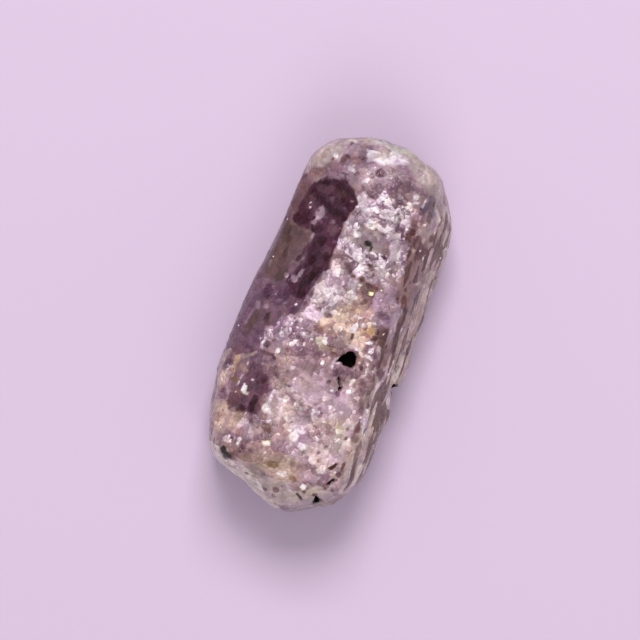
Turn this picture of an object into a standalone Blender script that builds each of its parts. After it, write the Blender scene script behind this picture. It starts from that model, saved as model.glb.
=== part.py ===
"""Purple scapolite crystal: one worn, stubby prism lying on one of its long faces.

Metres, +Z up. +Y runs along the crystal's long axis, +X across it, and the origin is under the
middle of the crystal, on the flat face that it rests on.
"""

import math

import bmesh
import bpy
from mathutils import Vector, noise
from mathutils.bvhtree import BVHTree

MM = 0.001

# Driving sizes of the block that the faces are cut from
LENGTH = 33.0 * MM
WIDTH = 15.6 * MM
HEIGHT = 12.6 * MM

# Each face: its name, the way it looks, and one point that it passes through, as shares of the half
# width, the half length and the height
PRISM_FACES = (
    ("front", (0.14, 0.00, 0.99), (-0.31, 0.00, 0.99)),
    ("left window", (-0.67, 0.064, 0.74), (-0.31, 0.00, 0.99)),
    ("left side", (-1.00, 0.075, -0.05), (-0.968, 0.00, 0.50)),
    ("left underside", (-0.74, 0.05, -0.67), (-0.94, 0.00, 0.34)),
    ("right shoulder", (0.88, 0.049, 0.47), (0.60, 0.00, 0.91)),
    ("right side", (1.00, -0.045, -0.03), (0.987, 0.00, 0.48)),
    ("right underside", (0.78, 0.02, -0.62), (0.93, 0.00, 0.36)),
    ("resting face", (0.00, 0.00, -1.00), (0.00, 0.00, 0.00)),
)
END_FACES = (
    ("far end", (0.03, 1.00, 0.05), (0.00, 0.982, 0.50)),
    ("far slope", (0.04, 0.62, 0.78), (0.00, 0.79, 0.97)),
    ("far left slope", (-0.52, 0.58, 0.62), (-0.42, 0.80, 0.88)),
    ("far left bevel", (-0.40, 0.91, 0.10), (-0.42, 0.953, 0.50)),
    ("far right bevel", (0.37, 0.93, 0.05), (0.40, 0.944, 0.50)),
    ("far left corner", (-0.75, 0.66, 0.10), (-0.70, 0.866, 0.50)),
    ("far right corner", (0.86, 0.51, 0.05), (0.775, 0.748, 0.50)),
    ("far right flank", (0.93, 0.37, 0.02), (0.965, 0.655, 0.48)),
    ("far underside", (0.00, 0.66, -0.75), (0.00, 0.78, 0.00)),
    ("near left end", (-0.375, -0.927, 0.12), (-0.30, -0.942, 0.42)),
    ("near right end", (0.56, -0.82, 0.14), (0.50, -0.945, 0.42)),
    ("near right corner", (0.88, -0.46, 0.04), (0.85, -0.782, 0.46)),
    ("near left taper", (-0.975, -0.20, 0.02), (-0.94, -0.60, 0.46)),
    ("near left corner", (-0.93, -0.36, 0.05), (-0.868, -0.73, 0.42)),
    ("near slope", (0.04, -0.58, 0.81), (0.00, -0.78, 0.95)),
    ("near underside", (0.00, -0.62, -0.78), (0.00, -0.80, 0.00)),
)

# How the block is meshed, and how far its edges are worn round
MESH_PITCH = 0.62 * MM
WEAR_PASSES = 8

# Lumps of the worn surface: the size of a lump and how far it swells. They are drawn out along the
# crystal, and fade towards the resting face, which is then trimmed true
LUMPS = ((5.5 * MM, 0.30 * MM), (2.4 * MM, 0.20 * MM), (1.3 * MM, 0.10 * MM))
LUMP_STRETCH = 1.5
LUMPS_START = 0.9 * MM
BASE_TRIM = 0.08 * MM

# Hollows, each seen along one direction: the name, the side it is in, its place in millimetres
# (across and along from above, along and up from the right, across and up from either end), its
# radius and its depth. One in a side or an end is a tall groove
HOLLOWS = (
    ("black pit", "above", (2.5, -2.3), 1.00, 0.80),
    ("slit below it", "above", (2.7, -4.6), 0.75, 0.50),
    ("curved hollow", "above", (4.8, -11.4), 1.05, 0.45),
    ("pit by the end", "above", (4.8, -12.9), 0.75, 0.50),
    ("notch at the end", "above", (4.3, -14.8), 0.85, 0.60),
    ("notch in the side", "right", (-4.3, 5.6), 1.80, 0.50),
    ("hollow beyond the notch", "right", (0.8, 6.0), 2.60, 0.20),
    ("chip in the far shoulder", "far", (2.3, 6.5), 1.60, 0.40),
    ("hollow of the near end", "near", (-3.2, 5.0), 2.20, 0.35),
    ("dent in the far rim", "above", (-4.6, 15.0), 1.30, 0.20),
    ("dent in the left rim", "above", (-7.2, -10.9), 0.90, 0.30),
)
GROOVE_STRETCH = 3.0

# The left window is a sunken flake scar: its corner points seen from above, in millimetres, and
# the drop and softness of its rim
SCAR_OUTLINE = ((-6.3, 11.3), (-3.2, 12.2), (-1.2, 10.8), (-2.0, 3.0), (-3.0, -0.6), (-6.6, 1.0))
SCAR_DROP = 0.22 * MM
SCAR_RIM = 0.45 * MM

STONE_COLOUR = (0.36, 0.24, 0.33, 1.0)
STONE_ROUGHNESS = 0.38


def clear_scene():
    for leftover in list(bpy.data.objects):
        bpy.data.objects.remove(leftover)


def place_of(share):
    across, along, up = share
    return Vector((across * WIDTH / 2, along * LENGTH / 2, up * HEIGHT))


def slice_off(solid, point, outward):
    """Removes what lies beyond a plane and closes the cut with one flat face."""
    everything = solid.verts[:] + solid.edges[:] + solid.faces[:]
    bmesh.ops.bisect_plane(
        solid, geom=everything, dist=1e-7, plane_co=point, plane_no=outward, clear_outer=True
    )
    rim = [edge for edge in solid.edges if edge.is_boundary]
    bmesh.ops.holes_fill(solid, edges=rim)
    bmesh.ops.recalc_face_normals(solid, faces=solid.faces)


def cut_prism():
    """The crystal's form: a block cut by its prism faces and end faces in turn."""
    block = bmesh.new()
    bmesh.ops.create_cube(block, size=1.0)
    bmesh.ops.scale(block, vec=(WIDTH * 1.2, LENGTH * 1.2, HEIGHT * 1.2), verts=block.verts)
    bmesh.ops.translate(block, vec=(0, 0, HEIGHT / 2), verts=block.verts)
    for _name, looks, share in PRISM_FACES + END_FACES:
        slice_off(block, place_of(share), Vector(looks).normalized())
    return block


def worn_mesh(block):
    """The cut block in even small faces, with its edges rubbed round."""
    rough = bpy.data.objects.new("rough", bpy.data.meshes.new("rough"))
    block.to_mesh(rough.data)
    block.free()
    bpy.context.scene.collection.objects.link(rough)
    remesh = rough.modifiers.new("even faces", "REMESH")
    remesh.mode = "VOXEL"
    remesh.voxel_size = MESH_PITCH
    wear = rough.modifiers.new("worn edges", "SMOOTH")
    wear.factor = 0.6
    wear.iterations = WEAR_PASSES
    bpy.context.view_layer.update()
    graph = bpy.context.evaluated_depsgraph_get()
    mesh = bpy.data.meshes.new_from_object(rough.evaluated_get(graph))
    bpy.data.objects.remove(rough)
    return mesh


def swell(place):
    """How far the lumpy surface stands out at a place."""
    drawn_out = Vector((place.x, place.y / LUMP_STRETCH, place.z))
    return sum(depth * noise.noise(drawn_out / size) for size, depth in LUMPS)


def surface_point(tree, side, spot):
    """The point of the surface that is seen at a spot from above, from the right or from an end."""
    first, second = (value * MM for value in spot)
    start, looking = {
        "above": ((first, second, 2 * HEIGHT), (0, 0, -1)),
        "right": ((WIDTH, first, second), (-1, 0, 0)),
        "near": ((first, -LENGTH, second), (0, 1, 0)),
        "far": ((first, LENGTH, second), (0, -1, 0)),
    }[side]
    return tree.ray_cast(Vector(start), Vector(looking))[0]


def hollow_centres(tree):
    """Where each hollow is, with its radius, its depth and how tall it is drawn."""
    found = []
    for _name, side, spot, radius, depth in HOLLOWS:
        centre = surface_point(tree, side, spot)
        if centre is not None:
            tall = 1.0 if side == "above" else GROOVE_STRETCH
            found.append((centre, radius * MM, depth * MM, tall))
    return found


def inside_scar(place):
    """How far inside the scar's outline a place is, seen from above, in metres; negative outside."""
    corners = [Vector(corner) * MM for corner in SCAR_OUTLINE]
    inward = []
    for start, end in zip(corners, corners[1:] + corners[:1]):
        edge = (end - start).normalized()
        inward.append((place.xy - start).dot(Vector((edge.y, -edge.x))))
    return min(inward)


def soft_step(value):
    value = min(max(value, 0.0), 1.0)
    return value * value * (3 - 2 * value)


def sink(place, looks_up, hollows):
    """How far the surface is sunk at a place by the hollows and by the flake scar."""
    depth = 0.0
    for centre, radius, deepest, tall in hollows:
        offset = place - centre
        reach = Vector((offset.x, offset.y, offset.z / tall)).length / radius
        if reach < 1:
            depth += deepest * soft_step(1 - reach)
    if looks_up:
        depth += SCAR_DROP * soft_step(inside_scar(place) / SCAR_RIM + 0.5)
    return depth


def shape_surface(mesh):
    """Swells the lumps and sinks the hollows and the scar along each point's normal."""
    points = [vertex.co.copy() for vertex in mesh.vertices]
    normals = [vertex.normal.copy() for vertex in mesh.vertices]
    tree = BVHTree.FromPolygons(points, [face.vertices[:] for face in mesh.polygons])
    hollows = hollow_centres(tree)
    base = min(place.z for place in points)
    for vertex, place, normal in zip(mesh.vertices, points, normals):
        lump = swell(place) * soft_step((place.z - base) / LUMPS_START)
        vertex.co = place + normal * (lump - sink(place, normal.z > 0.2, hollows))


def flatten_base(mesh):
    """Cuts the underside flat, so that the crystal rests still, and sets it down on the origin."""
    stone = bmesh.new()
    stone.from_mesh(mesh)
    lowest = min(vertex.co.z for vertex in stone.verts)
    slice_off(stone, Vector((0, 0, lowest + BASE_TRIM)), Vector((0, 0, -1)))
    bmesh.ops.triangulate(stone, faces=stone.faces)
    low = Vector([min(vertex.co[axis] for vertex in stone.verts) for axis in range(3)])
    high = Vector([max(vertex.co[axis] for vertex in stone.verts) for axis in range(3)])
    middle = (low + high) / 2
    bmesh.ops.translate(stone, vec=(-middle.x, -middle.y, -low.z), verts=stone.verts)
    stone.to_mesh(mesh)
    stone.free()


def stone_material():
    material = bpy.data.materials.new("purple scapolite")
    material.use_nodes = True
    shader = material.node_tree.nodes["Principled BSDF"]
    shader.inputs["Base Color"].default_value = STONE_COLOUR
    shader.inputs["Roughness"].default_value = STONE_ROUGHNESS
    shader.inputs["Metallic"].default_value = 0.0
    return material


def build_crystal():
    mesh = worn_mesh(cut_prism())
    shape_surface(mesh)
    flatten_base(mesh)
    mesh.shade_smooth()
    mesh.set_sharp_from_angle(angle=math.radians(35))
    crystal = bpy.data.objects.new("crystal", mesh)
    crystal.data.materials.append(stone_material())
    return crystal


clear_scene()
specimen = bpy.data.collections.new("scapolite crystal")
bpy.context.scene.collection.children.link(specimen)
specimen.objects.link(build_crystal())
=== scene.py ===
"""The looks of a purple scapolite crystal, on a plain pale floor and seen from straight above."""

import math

import bmesh
import bpy
import numpy as np
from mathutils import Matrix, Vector, noise


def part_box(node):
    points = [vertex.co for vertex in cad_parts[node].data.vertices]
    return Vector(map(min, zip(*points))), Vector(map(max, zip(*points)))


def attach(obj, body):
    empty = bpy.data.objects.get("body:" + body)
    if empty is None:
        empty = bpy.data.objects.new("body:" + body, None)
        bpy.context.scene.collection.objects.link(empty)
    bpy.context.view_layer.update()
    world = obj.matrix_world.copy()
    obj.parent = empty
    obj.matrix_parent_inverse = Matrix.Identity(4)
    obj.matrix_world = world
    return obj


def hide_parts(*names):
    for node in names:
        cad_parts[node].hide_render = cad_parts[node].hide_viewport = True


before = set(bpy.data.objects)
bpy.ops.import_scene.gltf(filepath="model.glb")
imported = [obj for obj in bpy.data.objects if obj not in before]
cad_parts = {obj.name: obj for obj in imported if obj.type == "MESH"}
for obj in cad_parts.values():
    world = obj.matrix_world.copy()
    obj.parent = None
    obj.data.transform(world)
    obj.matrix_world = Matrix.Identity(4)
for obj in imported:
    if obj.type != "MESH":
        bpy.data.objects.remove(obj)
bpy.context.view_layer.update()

# The rough stone
# One piece of scapolite, a stubby prism with worn edges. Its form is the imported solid's, taken over
# in much finer faces, so that grains, ledges and pits can be worked into the surface.
MM = 0.001
FINE_PITCH = 0.145 * MM
SOFTENING_PASSES = 24


def merged_copy(source, name):
    """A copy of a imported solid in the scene, with its loose triangles joined up."""
    mesh = source.data.copy()
    joined = bmesh.new()
    joined.from_mesh(mesh)
    bmesh.ops.remove_doubles(joined, verts=joined.verts, dist=1e-7)
    joined.to_mesh(mesh)
    joined.free()
    copy = bpy.data.objects.new(name, mesh)
    bpy.context.scene.collection.objects.link(copy)
    return copy


def settle(piece):
    """Turns what a piece's modifiers make into its plain mesh."""
    bpy.context.view_layer.update()
    graph = bpy.context.evaluated_depsgraph_get()
    made = bpy.data.meshes.new_from_object(piece.evaluated_get(graph))
    piece.modifiers.clear()
    piece.data = made


def points_of(mesh, what="co"):
    """The corner points of a mesh, or their normals, as rows of numbers."""
    flat = np.empty(len(mesh.vertices) * 3, np.float32)
    mesh.vertices.foreach_get(what, flat)
    return flat.reshape(-1, 3).astype(float)


def move_points(mesh, places):
    mesh.vertices.foreach_set("co", places.astype(np.float32).ravel())
    mesh.update()


stone = merged_copy(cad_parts["crystal"], "scapolite_stone")
even = stone.modifiers.new("fine even faces", "REMESH")
even.mode = "VOXEL"
even.voxel_size = FINE_PITCH
soften = stone.modifiers.new("no trace of the coarse faces", "SMOOTH")
soften.factor = 0.5
soften.iterations = SOFTENING_PASSES
settle(stone)

# The grains
# Broken scapolite is sugary: it parts into irregular glassy grains of 0.3 to 1 mm, and along the
# steep sides into long splinters. A node tree works out the grain that each point belongs to.
GRAIN_SIZE = 0.72 * MM
SMALL_GRAIN_SIZE = 0.36 * MM
SPLINTER_SIZE = 0.55 * MM
SPLINTER_SHAPE = (1.0, 0.28, 1.0)
GRAIN_BEND = 0.30


def add_node(tree, kind, *values, **settings):
    """Adds a node, sets its options, and fills its inputs in order with numbers or other sockets."""
    made = tree.nodes.new(kind)
    for option, value in settings.items():
        setattr(made, option, value)
    shown = [socket for socket in made.inputs if socket.enabled]
    for socket, value in zip(shown, values):
        if value is None:
            continue
        if isinstance(value, bpy.types.NodeSocket):
            tree.links.new(value, socket)
        else:
            socket.default_value = value
    return made


def result(made, name=None):
    """The named output of a node, or its first one that is in use."""
    shown = [socket for socket in made.outputs if socket.enabled]
    return shown[0] if name is None else next(socket for socket in shown if socket.name == name)


def do_math(tree, operation, *values):
    return result(add_node(tree, "ShaderNodeMath", *values, operation=operation))


def do_vector(tree, operation, *values):
    return result(add_node(tree, "ShaderNodeVectorMath", *values, operation=operation))


def bent_place(tree, place, size):
    """Places pushed about by a soft noise, so that the grains aren't neat cells."""
    push = add_node(tree, "ShaderNodeTexNoise", place, 0.6 / size, 1.0)
    centred = do_vector(tree, "SUBTRACT", result(push, "Color"), (0.5, 0.5, 0.5))
    reach = do_vector(tree, "MULTIPLY", centred, (2 * GRAIN_BEND * size,) * 3)
    return do_vector(tree, "ADD", place, reach)


def grain_cells(tree, place, size, shape=(1.0, 1.0, 1.0)):
    """Each place's grain: three random numbers of its own, its middle, and how far its edge is."""
    bent = bent_place(tree, place, size)
    shaped = do_vector(tree, "MULTIPLY", bent, shape)
    cell = add_node(tree, "ShaderNodeTexVoronoi", shaped, 1 / size, feature="F1")
    edge = add_node(tree, "ShaderNodeTexVoronoi", shaped, 1 / size, feature="DISTANCE_TO_EDGE")
    middle = do_vector(tree, "DIVIDE", result(cell, "Position"), shape)
    return {
        "random": result(cell, "Color"),
        "middle": middle,
        "from_middle": do_vector(tree, "SUBTRACT", bent, middle),
        "off_centre": result(cell, "Distance"),
        "to_edge": result(edge),
    }


def grain_height(tree, cell, size):
    """A grain's own relief, from about -1 to 1: a dome, set high or low, with a leaning top."""
    parts = add_node(tree, "ShaderNodeSeparateXYZ", cell["random"])
    step = do_math(tree, "MULTIPLY_ADD", result(parts, "X"), 1.5, -0.75)
    lean_to = do_vector(tree, "SUBTRACT", cell["random"], (0.5, 0.5, 0.5))
    lean = result(
        add_node(tree, "ShaderNodeVectorMath", lean_to, cell["from_middle"], operation="DOT_PRODUCT"),
        "Value",
    )
    lean = do_math(tree, "MULTIPLY", lean, 2.6 / size)
    dome = do_math(tree, "MULTIPLY", do_math(tree, "POWER", cell["off_centre"], 2.0), -1.1)
    total = do_math(tree, "ADD", do_math(tree, "ADD", step, lean), dome)
    rim = add_node(tree, "ShaderNodeMapRange", cell["to_edge"], 0.0, 0.16, 0.25, 1.0)
    groove = add_node(tree, "ShaderNodeMapRange", cell["to_edge"], 0.0, 0.10, -0.35, 0.0)
    return do_math(tree, "MULTIPLY_ADD", total, result(rim), result(groove))


def keep_attribute(tree, geometry, name, kind, value):
    """Writes a value on every point of the geometry under a name."""
    kept = add_node(
        tree, "GeometryNodeStoreNamedAttribute", geometry, None, name, value, data_type=kind
    )
    return result(kept)


def grain_tree():
    tree = bpy.data.node_groups.new("grains of the stone", "GeometryNodeTree")
    tree.is_modifier = True
    tree.interface.new_socket("Stone", in_out="INPUT", socket_type="NodeSocketGeometry")
    tree.interface.new_socket("Material", in_out="INPUT", socket_type="NodeSocketMaterial")
    tree.interface.new_socket("Stone", in_out="OUTPUT", socket_type="NodeSocketGeometry")
    start = tree.nodes.new("NodeGroupInput")
    place = result(tree.nodes.new("GeometryNodeInputPosition"))
    grains = grain_cells(tree, place, GRAIN_SIZE)
    small = grain_cells(tree, place, SMALL_GRAIN_SIZE)
    splinters = grain_cells(tree, place, SPLINTER_SIZE, SPLINTER_SHAPE)
    stone = start.outputs["Stone"]
    stone = keep_attribute(tree, stone, "grain_middle", "FLOAT_VECTOR", grains["middle"])
    for name, cell, size in (
        ("grain_height", grains, GRAIN_SIZE),
        ("small_grain_height", small, SMALL_GRAIN_SIZE),
        ("splinter_height", splinters, SPLINTER_SIZE),
    ):
        height = grain_height(tree, cell, size)
        stone = keep_attribute(tree, stone, name, "FLOAT", height)
    whole = add_node(tree, "GeometryNodeRealizeInstances", stone)
    dressed = add_node(tree, "GeometryNodeSetMaterial", result(whole), None, start.outputs["Material"])
    tree.links.new(result(dressed), tree.nodes.new("NodeGroupOutput").inputs["Stone"])
    return tree


def use_tree(piece, tree, values):
    """Runs a node tree on a piece, with values for its named inputs, and keeps the plain result."""
    made = piece.modifiers.new(tree.name, "NODES")
    made.node_group = tree
    for socket in tree.interface.items_tree:
        if socket.in_out == "INPUT" and socket.name in values:
            made[socket.identifier] = values[socket.name]
    settle(piece)


def read_attribute(mesh, name, width=1):
    layer = mesh.attributes[name]
    flat = np.empty(len(layer.data) * width, np.float32)
    layer.data.foreach_get("value" if width == 1 else "vector", flat)
    return flat.astype(float) if width == 1 else flat.reshape(-1, width).astype(float)


stone_finish = bpy.data.materials.new("purple scapolite")
use_tree(stone, grain_tree(), {"Material": stone_finish})
mesh = stone.data
places = points_of(mesh)
facing = points_of(mesh, "normal")
middles = read_attribute(mesh, "grain_middle", 3)

# The markings
# The colour lies in clouds and bands inside the stone, apart from painted light: the glints, the lamp's
# glare on the dome and the paler rims. Each tone is named, with how frosted its grains are, how far
# they stand out and how splintery they are. The marks are painted one over the other, each with a
# ragged edge that follows the grains, in millimetres as seen from above.
EYE_HEIGHT = 250.0
LEVEL = 5.5
SHIFT = (-0.1, -0.1)

# Tone: colour as it looks on a screen, share of frosted grains, relief and splinters
TONES = {
    "mauve": ((160, 130, 139), 0.25, 0.55, 0.0),
    "dome mauve": ((158, 133, 148), 0.12, 0.35, 0.0),
    "dome grey": ((182, 166, 166), 0.10, 0.25, 0.0),
    "rim": ((184, 180, 176), 0.05, 0.20, 0.1),
    # Partly painted light: paler than the rim's own colour, for light through thin edges and the weak lamplight
    # there
    "pale rim": ((236, 228, 216), 0.10, 0.25, 0.2),
    "plum": ((72, 32, 53), 0.04, 0.45, 0.0),
    "deep plum": ((44, 0, 18), 0.00, 0.30, 0.0),
    "dusky plum": ((103, 68, 83), 0.08, 0.50, 0.0),
    "violet": ((111, 80, 100), 0.10, 0.45, 0.0),
    "dark violet": ((70, 30, 62), 0.04, 0.40, 0.0),
    "smoke": ((98, 72, 76), 0.03, 0.15, 0.3),
    "dark smoke": ((74, 50, 54), 0.03, 0.15, 0.3),
    "lilac": ((173, 142, 162), 0.40, 0.80, 0.0),
    "lavender": ((176, 151, 168), 0.15, 0.45, 0.0),
    "haze": ((193, 166, 182), 0.20, 0.35, 0.0),
    "frost": ((178, 151, 170), 0.62, 1.00, 0.0),
    "plate": ((214, 195, 206), 0.35, 0.65, 0.0),
    "white": ((236, 224, 230), 0.80, 0.70, 0.0),
    "blush": ((206, 180, 186), 0.32, 0.60, 0.0),
    # Near white: pale marks on the dome, and the painted glare of the far lamp on it
    "dome white": ((234, 225, 233), 0.30, 0.40, 0.0),
    "grey": ((151, 131, 138), 0.12, 0.35, 0.0),
    "peach": ((214, 186, 173), 0.25, 0.60, 0.0),
    "tan": ((206, 178, 165), 0.20, 0.50, 0.0),
    "gold": ((200, 170, 144), 0.25, 0.50, 0.0),
    "orange": ((190, 146, 104), 0.05, 0.40, 0.0),
    "cream green": ((206, 193, 176), 0.30, 0.65, 0.0),
    "brown mauve": ((134, 100, 98), 0.10, 0.50, 0.2),
    "maroon": ((102, 64, 64), 0.05, 0.45, 0.1),
    "umber": ((66, 32, 18), 0.02, 0.35, 0.0),
    "olive brown": ((134, 104, 76), 0.03, 0.30, 0.0),
    "green grey": ((46, 40, 34), 0.03, 0.30, 0.0),
    "olive": ((20, 22, 4), 0.00, 0.20, 0.0),
    "side": ((176, 157, 154), 0.10, 0.40, 1.0),
    # Partly painted light along the right rim, where it is paler to offset the weaker lamplight
    "side grey": ((222, 208, 206), 0.10, 0.40, 1.0),
    "side brown": ((128, 97, 95), 0.06, 0.40, 1.0),
    "blue grey": ((116, 102, 120), 0.10, 0.55, 0.1),
    "black": ((8, 4, 4), 0.00, 0.10, 0.0),
    # Painted highlights: the glints, laid into the colour as near white and greenish white
    "glint": ((255, 252, 250), 1.00, 0.30, 0.0),
    "green glint": ((236, 236, 150), 1.00, 0.20, 0.0),
}

# Areas: tone, how much of it shows, softness of its edge, then its outline point by point
AREAS = (
    ("dome mauve", 0.9, 0.9, (-6.9, 12.3), (-3, 11.6), (0, 12.6), (3, 13.2), (5.6, 12.6), (5, 17), (-6, 17)),
    ("dome grey", 0.9, 0.9, (-7, 11.4), (-5.6, 12.3), (-4.2, 13.2), (-4.3, 14.2), (-3.5, 15.3), (-6.5, 16.5)),
    ("dome grey", 0.9, 0.8, (-3.6, 15.6), (-1.8, 15.7), (0.0, 15.9), (1.6, 15.6), (1.9, 14.9), (2.8, 14.2),
     (4.2, 13.6), (5.2, 12.9), (6.3, 12.6), (5.6, 16), (0, 17.2), (-4, 17)),
    # Painted highlight: the far lamp's soft glare on the top of the dome, laid into the colour
    ("dome white", 0.95, 0.35, (-2.2, 15.0), (-1.7, 15.3), (-1.2, 15.7), (-0.8, 15.4), (-0.3, 15.5),
     (0.0, 15.8), (0.8, 15.7), (1.6, 15.5), (1.3, 15.2), (1.2, 14.8), (0.5, 14.8), (-0.4, 14.6),
     (-1.2, 14.4), (-1.9, 14.3), (-2.0, 14.6)),
    ("side", 0.95, 0.5, (4.9, 12.6), (4.4, 9.8), (4.3, 6.0), (5.4, 3.2), (4.8, 1.6), (5.0, -1.2),
     (5.0, -3.2), (4.9, -6.2), (5.3, -8.8), (5.5, -10.6), (5.6, -12.4), (5.0, -14.6), (9, -15), (9, 13)),
    ("side brown", 0.8, 0.6, (4.1, 9.6), (5.9, 9.2), (6.2, 7.2), (6.0, 5.0), (6.2, 3.0), (6.3, 0.4), (5.8, -1.4),
     (5.2, -2.8), (4.9, -1.4), (4.3, -0.2), (4.1, 0.8), (4.9, 1.7), (5.4, 2.8), (4.7, 4.0), (4.2, 5.2), (4.3, 7.0)),
    ("smoke", 0.95, 0.45, (-8, 7.2), (-4.9, 7.1), (-4.3, 6.3), (-4.6, 4.8), (-4.9, 3.6), (-5.1, 2.2),
     (-6.3, 1.7), (-8, 2.2)),
    ("dusky plum", 0.8, 0.6, (-8, 12), (-6.4, 11.6), (-5.4, 11.0), (-5.2, 9.0), (-6.0, 7.2), (-8, 7.1)),
    ("violet", 0.95, 0.5, (-8, 2.2), (-6.0, 1.6), (-4.9, 2.3), (-3.0, 1.2), (-2.6, 0.2), (-3.3, -0.4),
     (-4.2, -0.8), (-4.4, -1.7), (-5.0, -2.2), (-5.6, -3.4), (-4.6, -4.4), (-3.3, -4.9), (-5.0, -5.2),
     (-8.2, -5.0), (-8.2, -1)),
    ("frost", 1.0, 0.3, (-1.4, 11.2), (-0.2, 11.3), (0.3, 12.2), (1.6, 12.3), (2.9, 12.0), (3.1, 12.9),
     (3.6, 12.4), (3.2, 11.6), (3.4, 10.6), (3.8, 9.7), (3.1, 9.3), (4.2, 8.7), (4.3, 7.4), (4.2, 5.9),
     (3.2, 5.0), (2.4, 4.5), (0.2, 4.9), (-0.6, 5.6), (-1.7, 6.6), (-1.6, 7.8), (-1.9, 9.0), (-1.3, 10.3)),
    ("plate", 1.0, 0.3, (-1.9, 5.6), (-0.6, 5.4), (0.2, 4.6), (1.2, 4.3), (1.4, 3.4), (1.2, 2.4),
     (0.7, 1.6), (0.0, 1.1), (-0.8, 0.2), (-1.6, -0.3), (-2.6, 0.1), (-2.2, 1.5), (-2.4, 2.4),
     (-2.0, 3.2), (-1.8, 4.2)),
    ("brown mauve", 0.8, 0.4, (1.2, 4.3), (3.0, 4.4), (2.9, 3.2), (2.3, 2.3), (1.5, 2.4), (1.2, 3.4)),
    ("lavender", 0.95, 0.35, (2.9, 4.7), (4.0, 4.8), (4.6, 4.0), (5.5, 3.0), (5.3, 2.2), (4.8, 1.5),
     (4.2, 1.3), (3.4, 1.9), (2.8, 2.5), (2.6, 3.5)),
    ("peach", 1.0, 0.4, (0.2, 1.9), (1.2, 2.3), (2.4, 2.4), (3.2, 1.9), (3.8, 1.2), (3.8, 0.2),
     (3.4, -0.8), (3.6, -1.9), (2.6, -1.6), (2.0, -1.2), (0.9, -1.0), (-0.4, -0.9), (-1.2, 0.0), (0, 1)),
    ("lilac", 1.0, 0.3, (-4.0, -0.8), (-2.6, -0.4), (-1.2, -0.9), (-0.9, -1.8), (-2.3, -2.0),
     (-2.3, -3.0), (-3.8, -3.2), (-4.6, -4.2), (-5.5, -3.6), (-5.2, -2.8), (-5.0, -2.1), (-4.3, -1.7)),
    ("blush", 0.9, 0.9, (-2.7, -7.0), (-1.0, -5.2), (0.5, -5.1), (2.2, -5.6), (4.2, -6.0), (4.9, -8.0),
     (5.4, -9.4), (5.0, -11.2), (3.6, -12.2), (1.5, -12.4), (-0.5, -12.2), (-1.4, -11.2),
     (-1.6, -10.0), (-2.8, -9.2)),
    ("haze", 0.9, 0.7, (-0.8, -4.9), (1.2, -4.8), (3.2, -5.3), (4.6, -6.2), (4.4, -7.4), (2.6, -7.6),
     (0.6, -7.2), (-0.6, -6.4), (-1.6, -6.2)),
    ("dusky plum", 1.0, 0.35, (-5.6, -5.2), (-4.0, -5.4), (-3.2, -6.3), (-2.9, -7.4), (-3.0, -8.6),
     (-3.3, -9.4), (-3.9, -9.9), (-4.8, -9.9), (-5.9, -9.6), (-6.4, -8.8), (-6.2, -7.7), (-5.3, -7.2)),
    ("tan", 0.9, 0.7, (-7.2, -9.4), (-5.6, -9.9), (-4.2, -10.2), (-3.4, -10.8), (-3.4, -11.6), (-5.6, -11.9),
     (-7.0, -11.6)),
    ("tan", 0.85, 0.8, (-3.0, -12.0), (0.0, -11.8), (2.4, -12.6), (2.6, -13.8), (0.4, -14.2), (-3.2, -13.9)),
    ("dome grey", 0.95, 0.7, (-4.0, -13.8), (0.0, -14.2), (2.4, -14.2), (5.6, -13.0), (5.0, -15.2),
     (1.6, -17), (-1.4, -15.6)),
    # Partly painted light: the near end's rim is painted paler, for the light through its thin edge and to offset
    # the weaker lamplight on this slope
    ("pale rim", 0.95, 0.3, (-6.8, -12.5), (-5.2, -13.5), (-4.2, -14.2), (-2.5, -14.4), (-1.0, -15.1),
     (0.2, -15.9), (1.5, -16.5), (1.2, -17.4), (-4.2, -15.4), (-7, -14.6)),
    ("plum", 1.0, 0.15, (-5.6, 11.0), (-4.9, 11.4), (-4.1, 11.8), (-3.5, 11.95), (-3.2, 12.4),
     (-2.9, 11.95), (-2.0, 11.4), (-1.3, 10.7), (-1.5, 10.2), (-1.8, 9.4), (-2.0, 8.6), (-1.9, 7.4),
     (-1.8, 6.5), (-2.0, 5.0), (-1.8, 4.4), (-2.4, 3.2), (-2.8, 2.0), (-3.0, 0.9), (-4.4, 1.2),
     (-5.0, 2.2), (-4.6, 3.4), (-4.2, 5.2), (-4.1, 6.9), (-5.6, 7.0), (-6.2, 7.3), (-6.0, 8.6), (-5.9, 10.0)),
)

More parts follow.
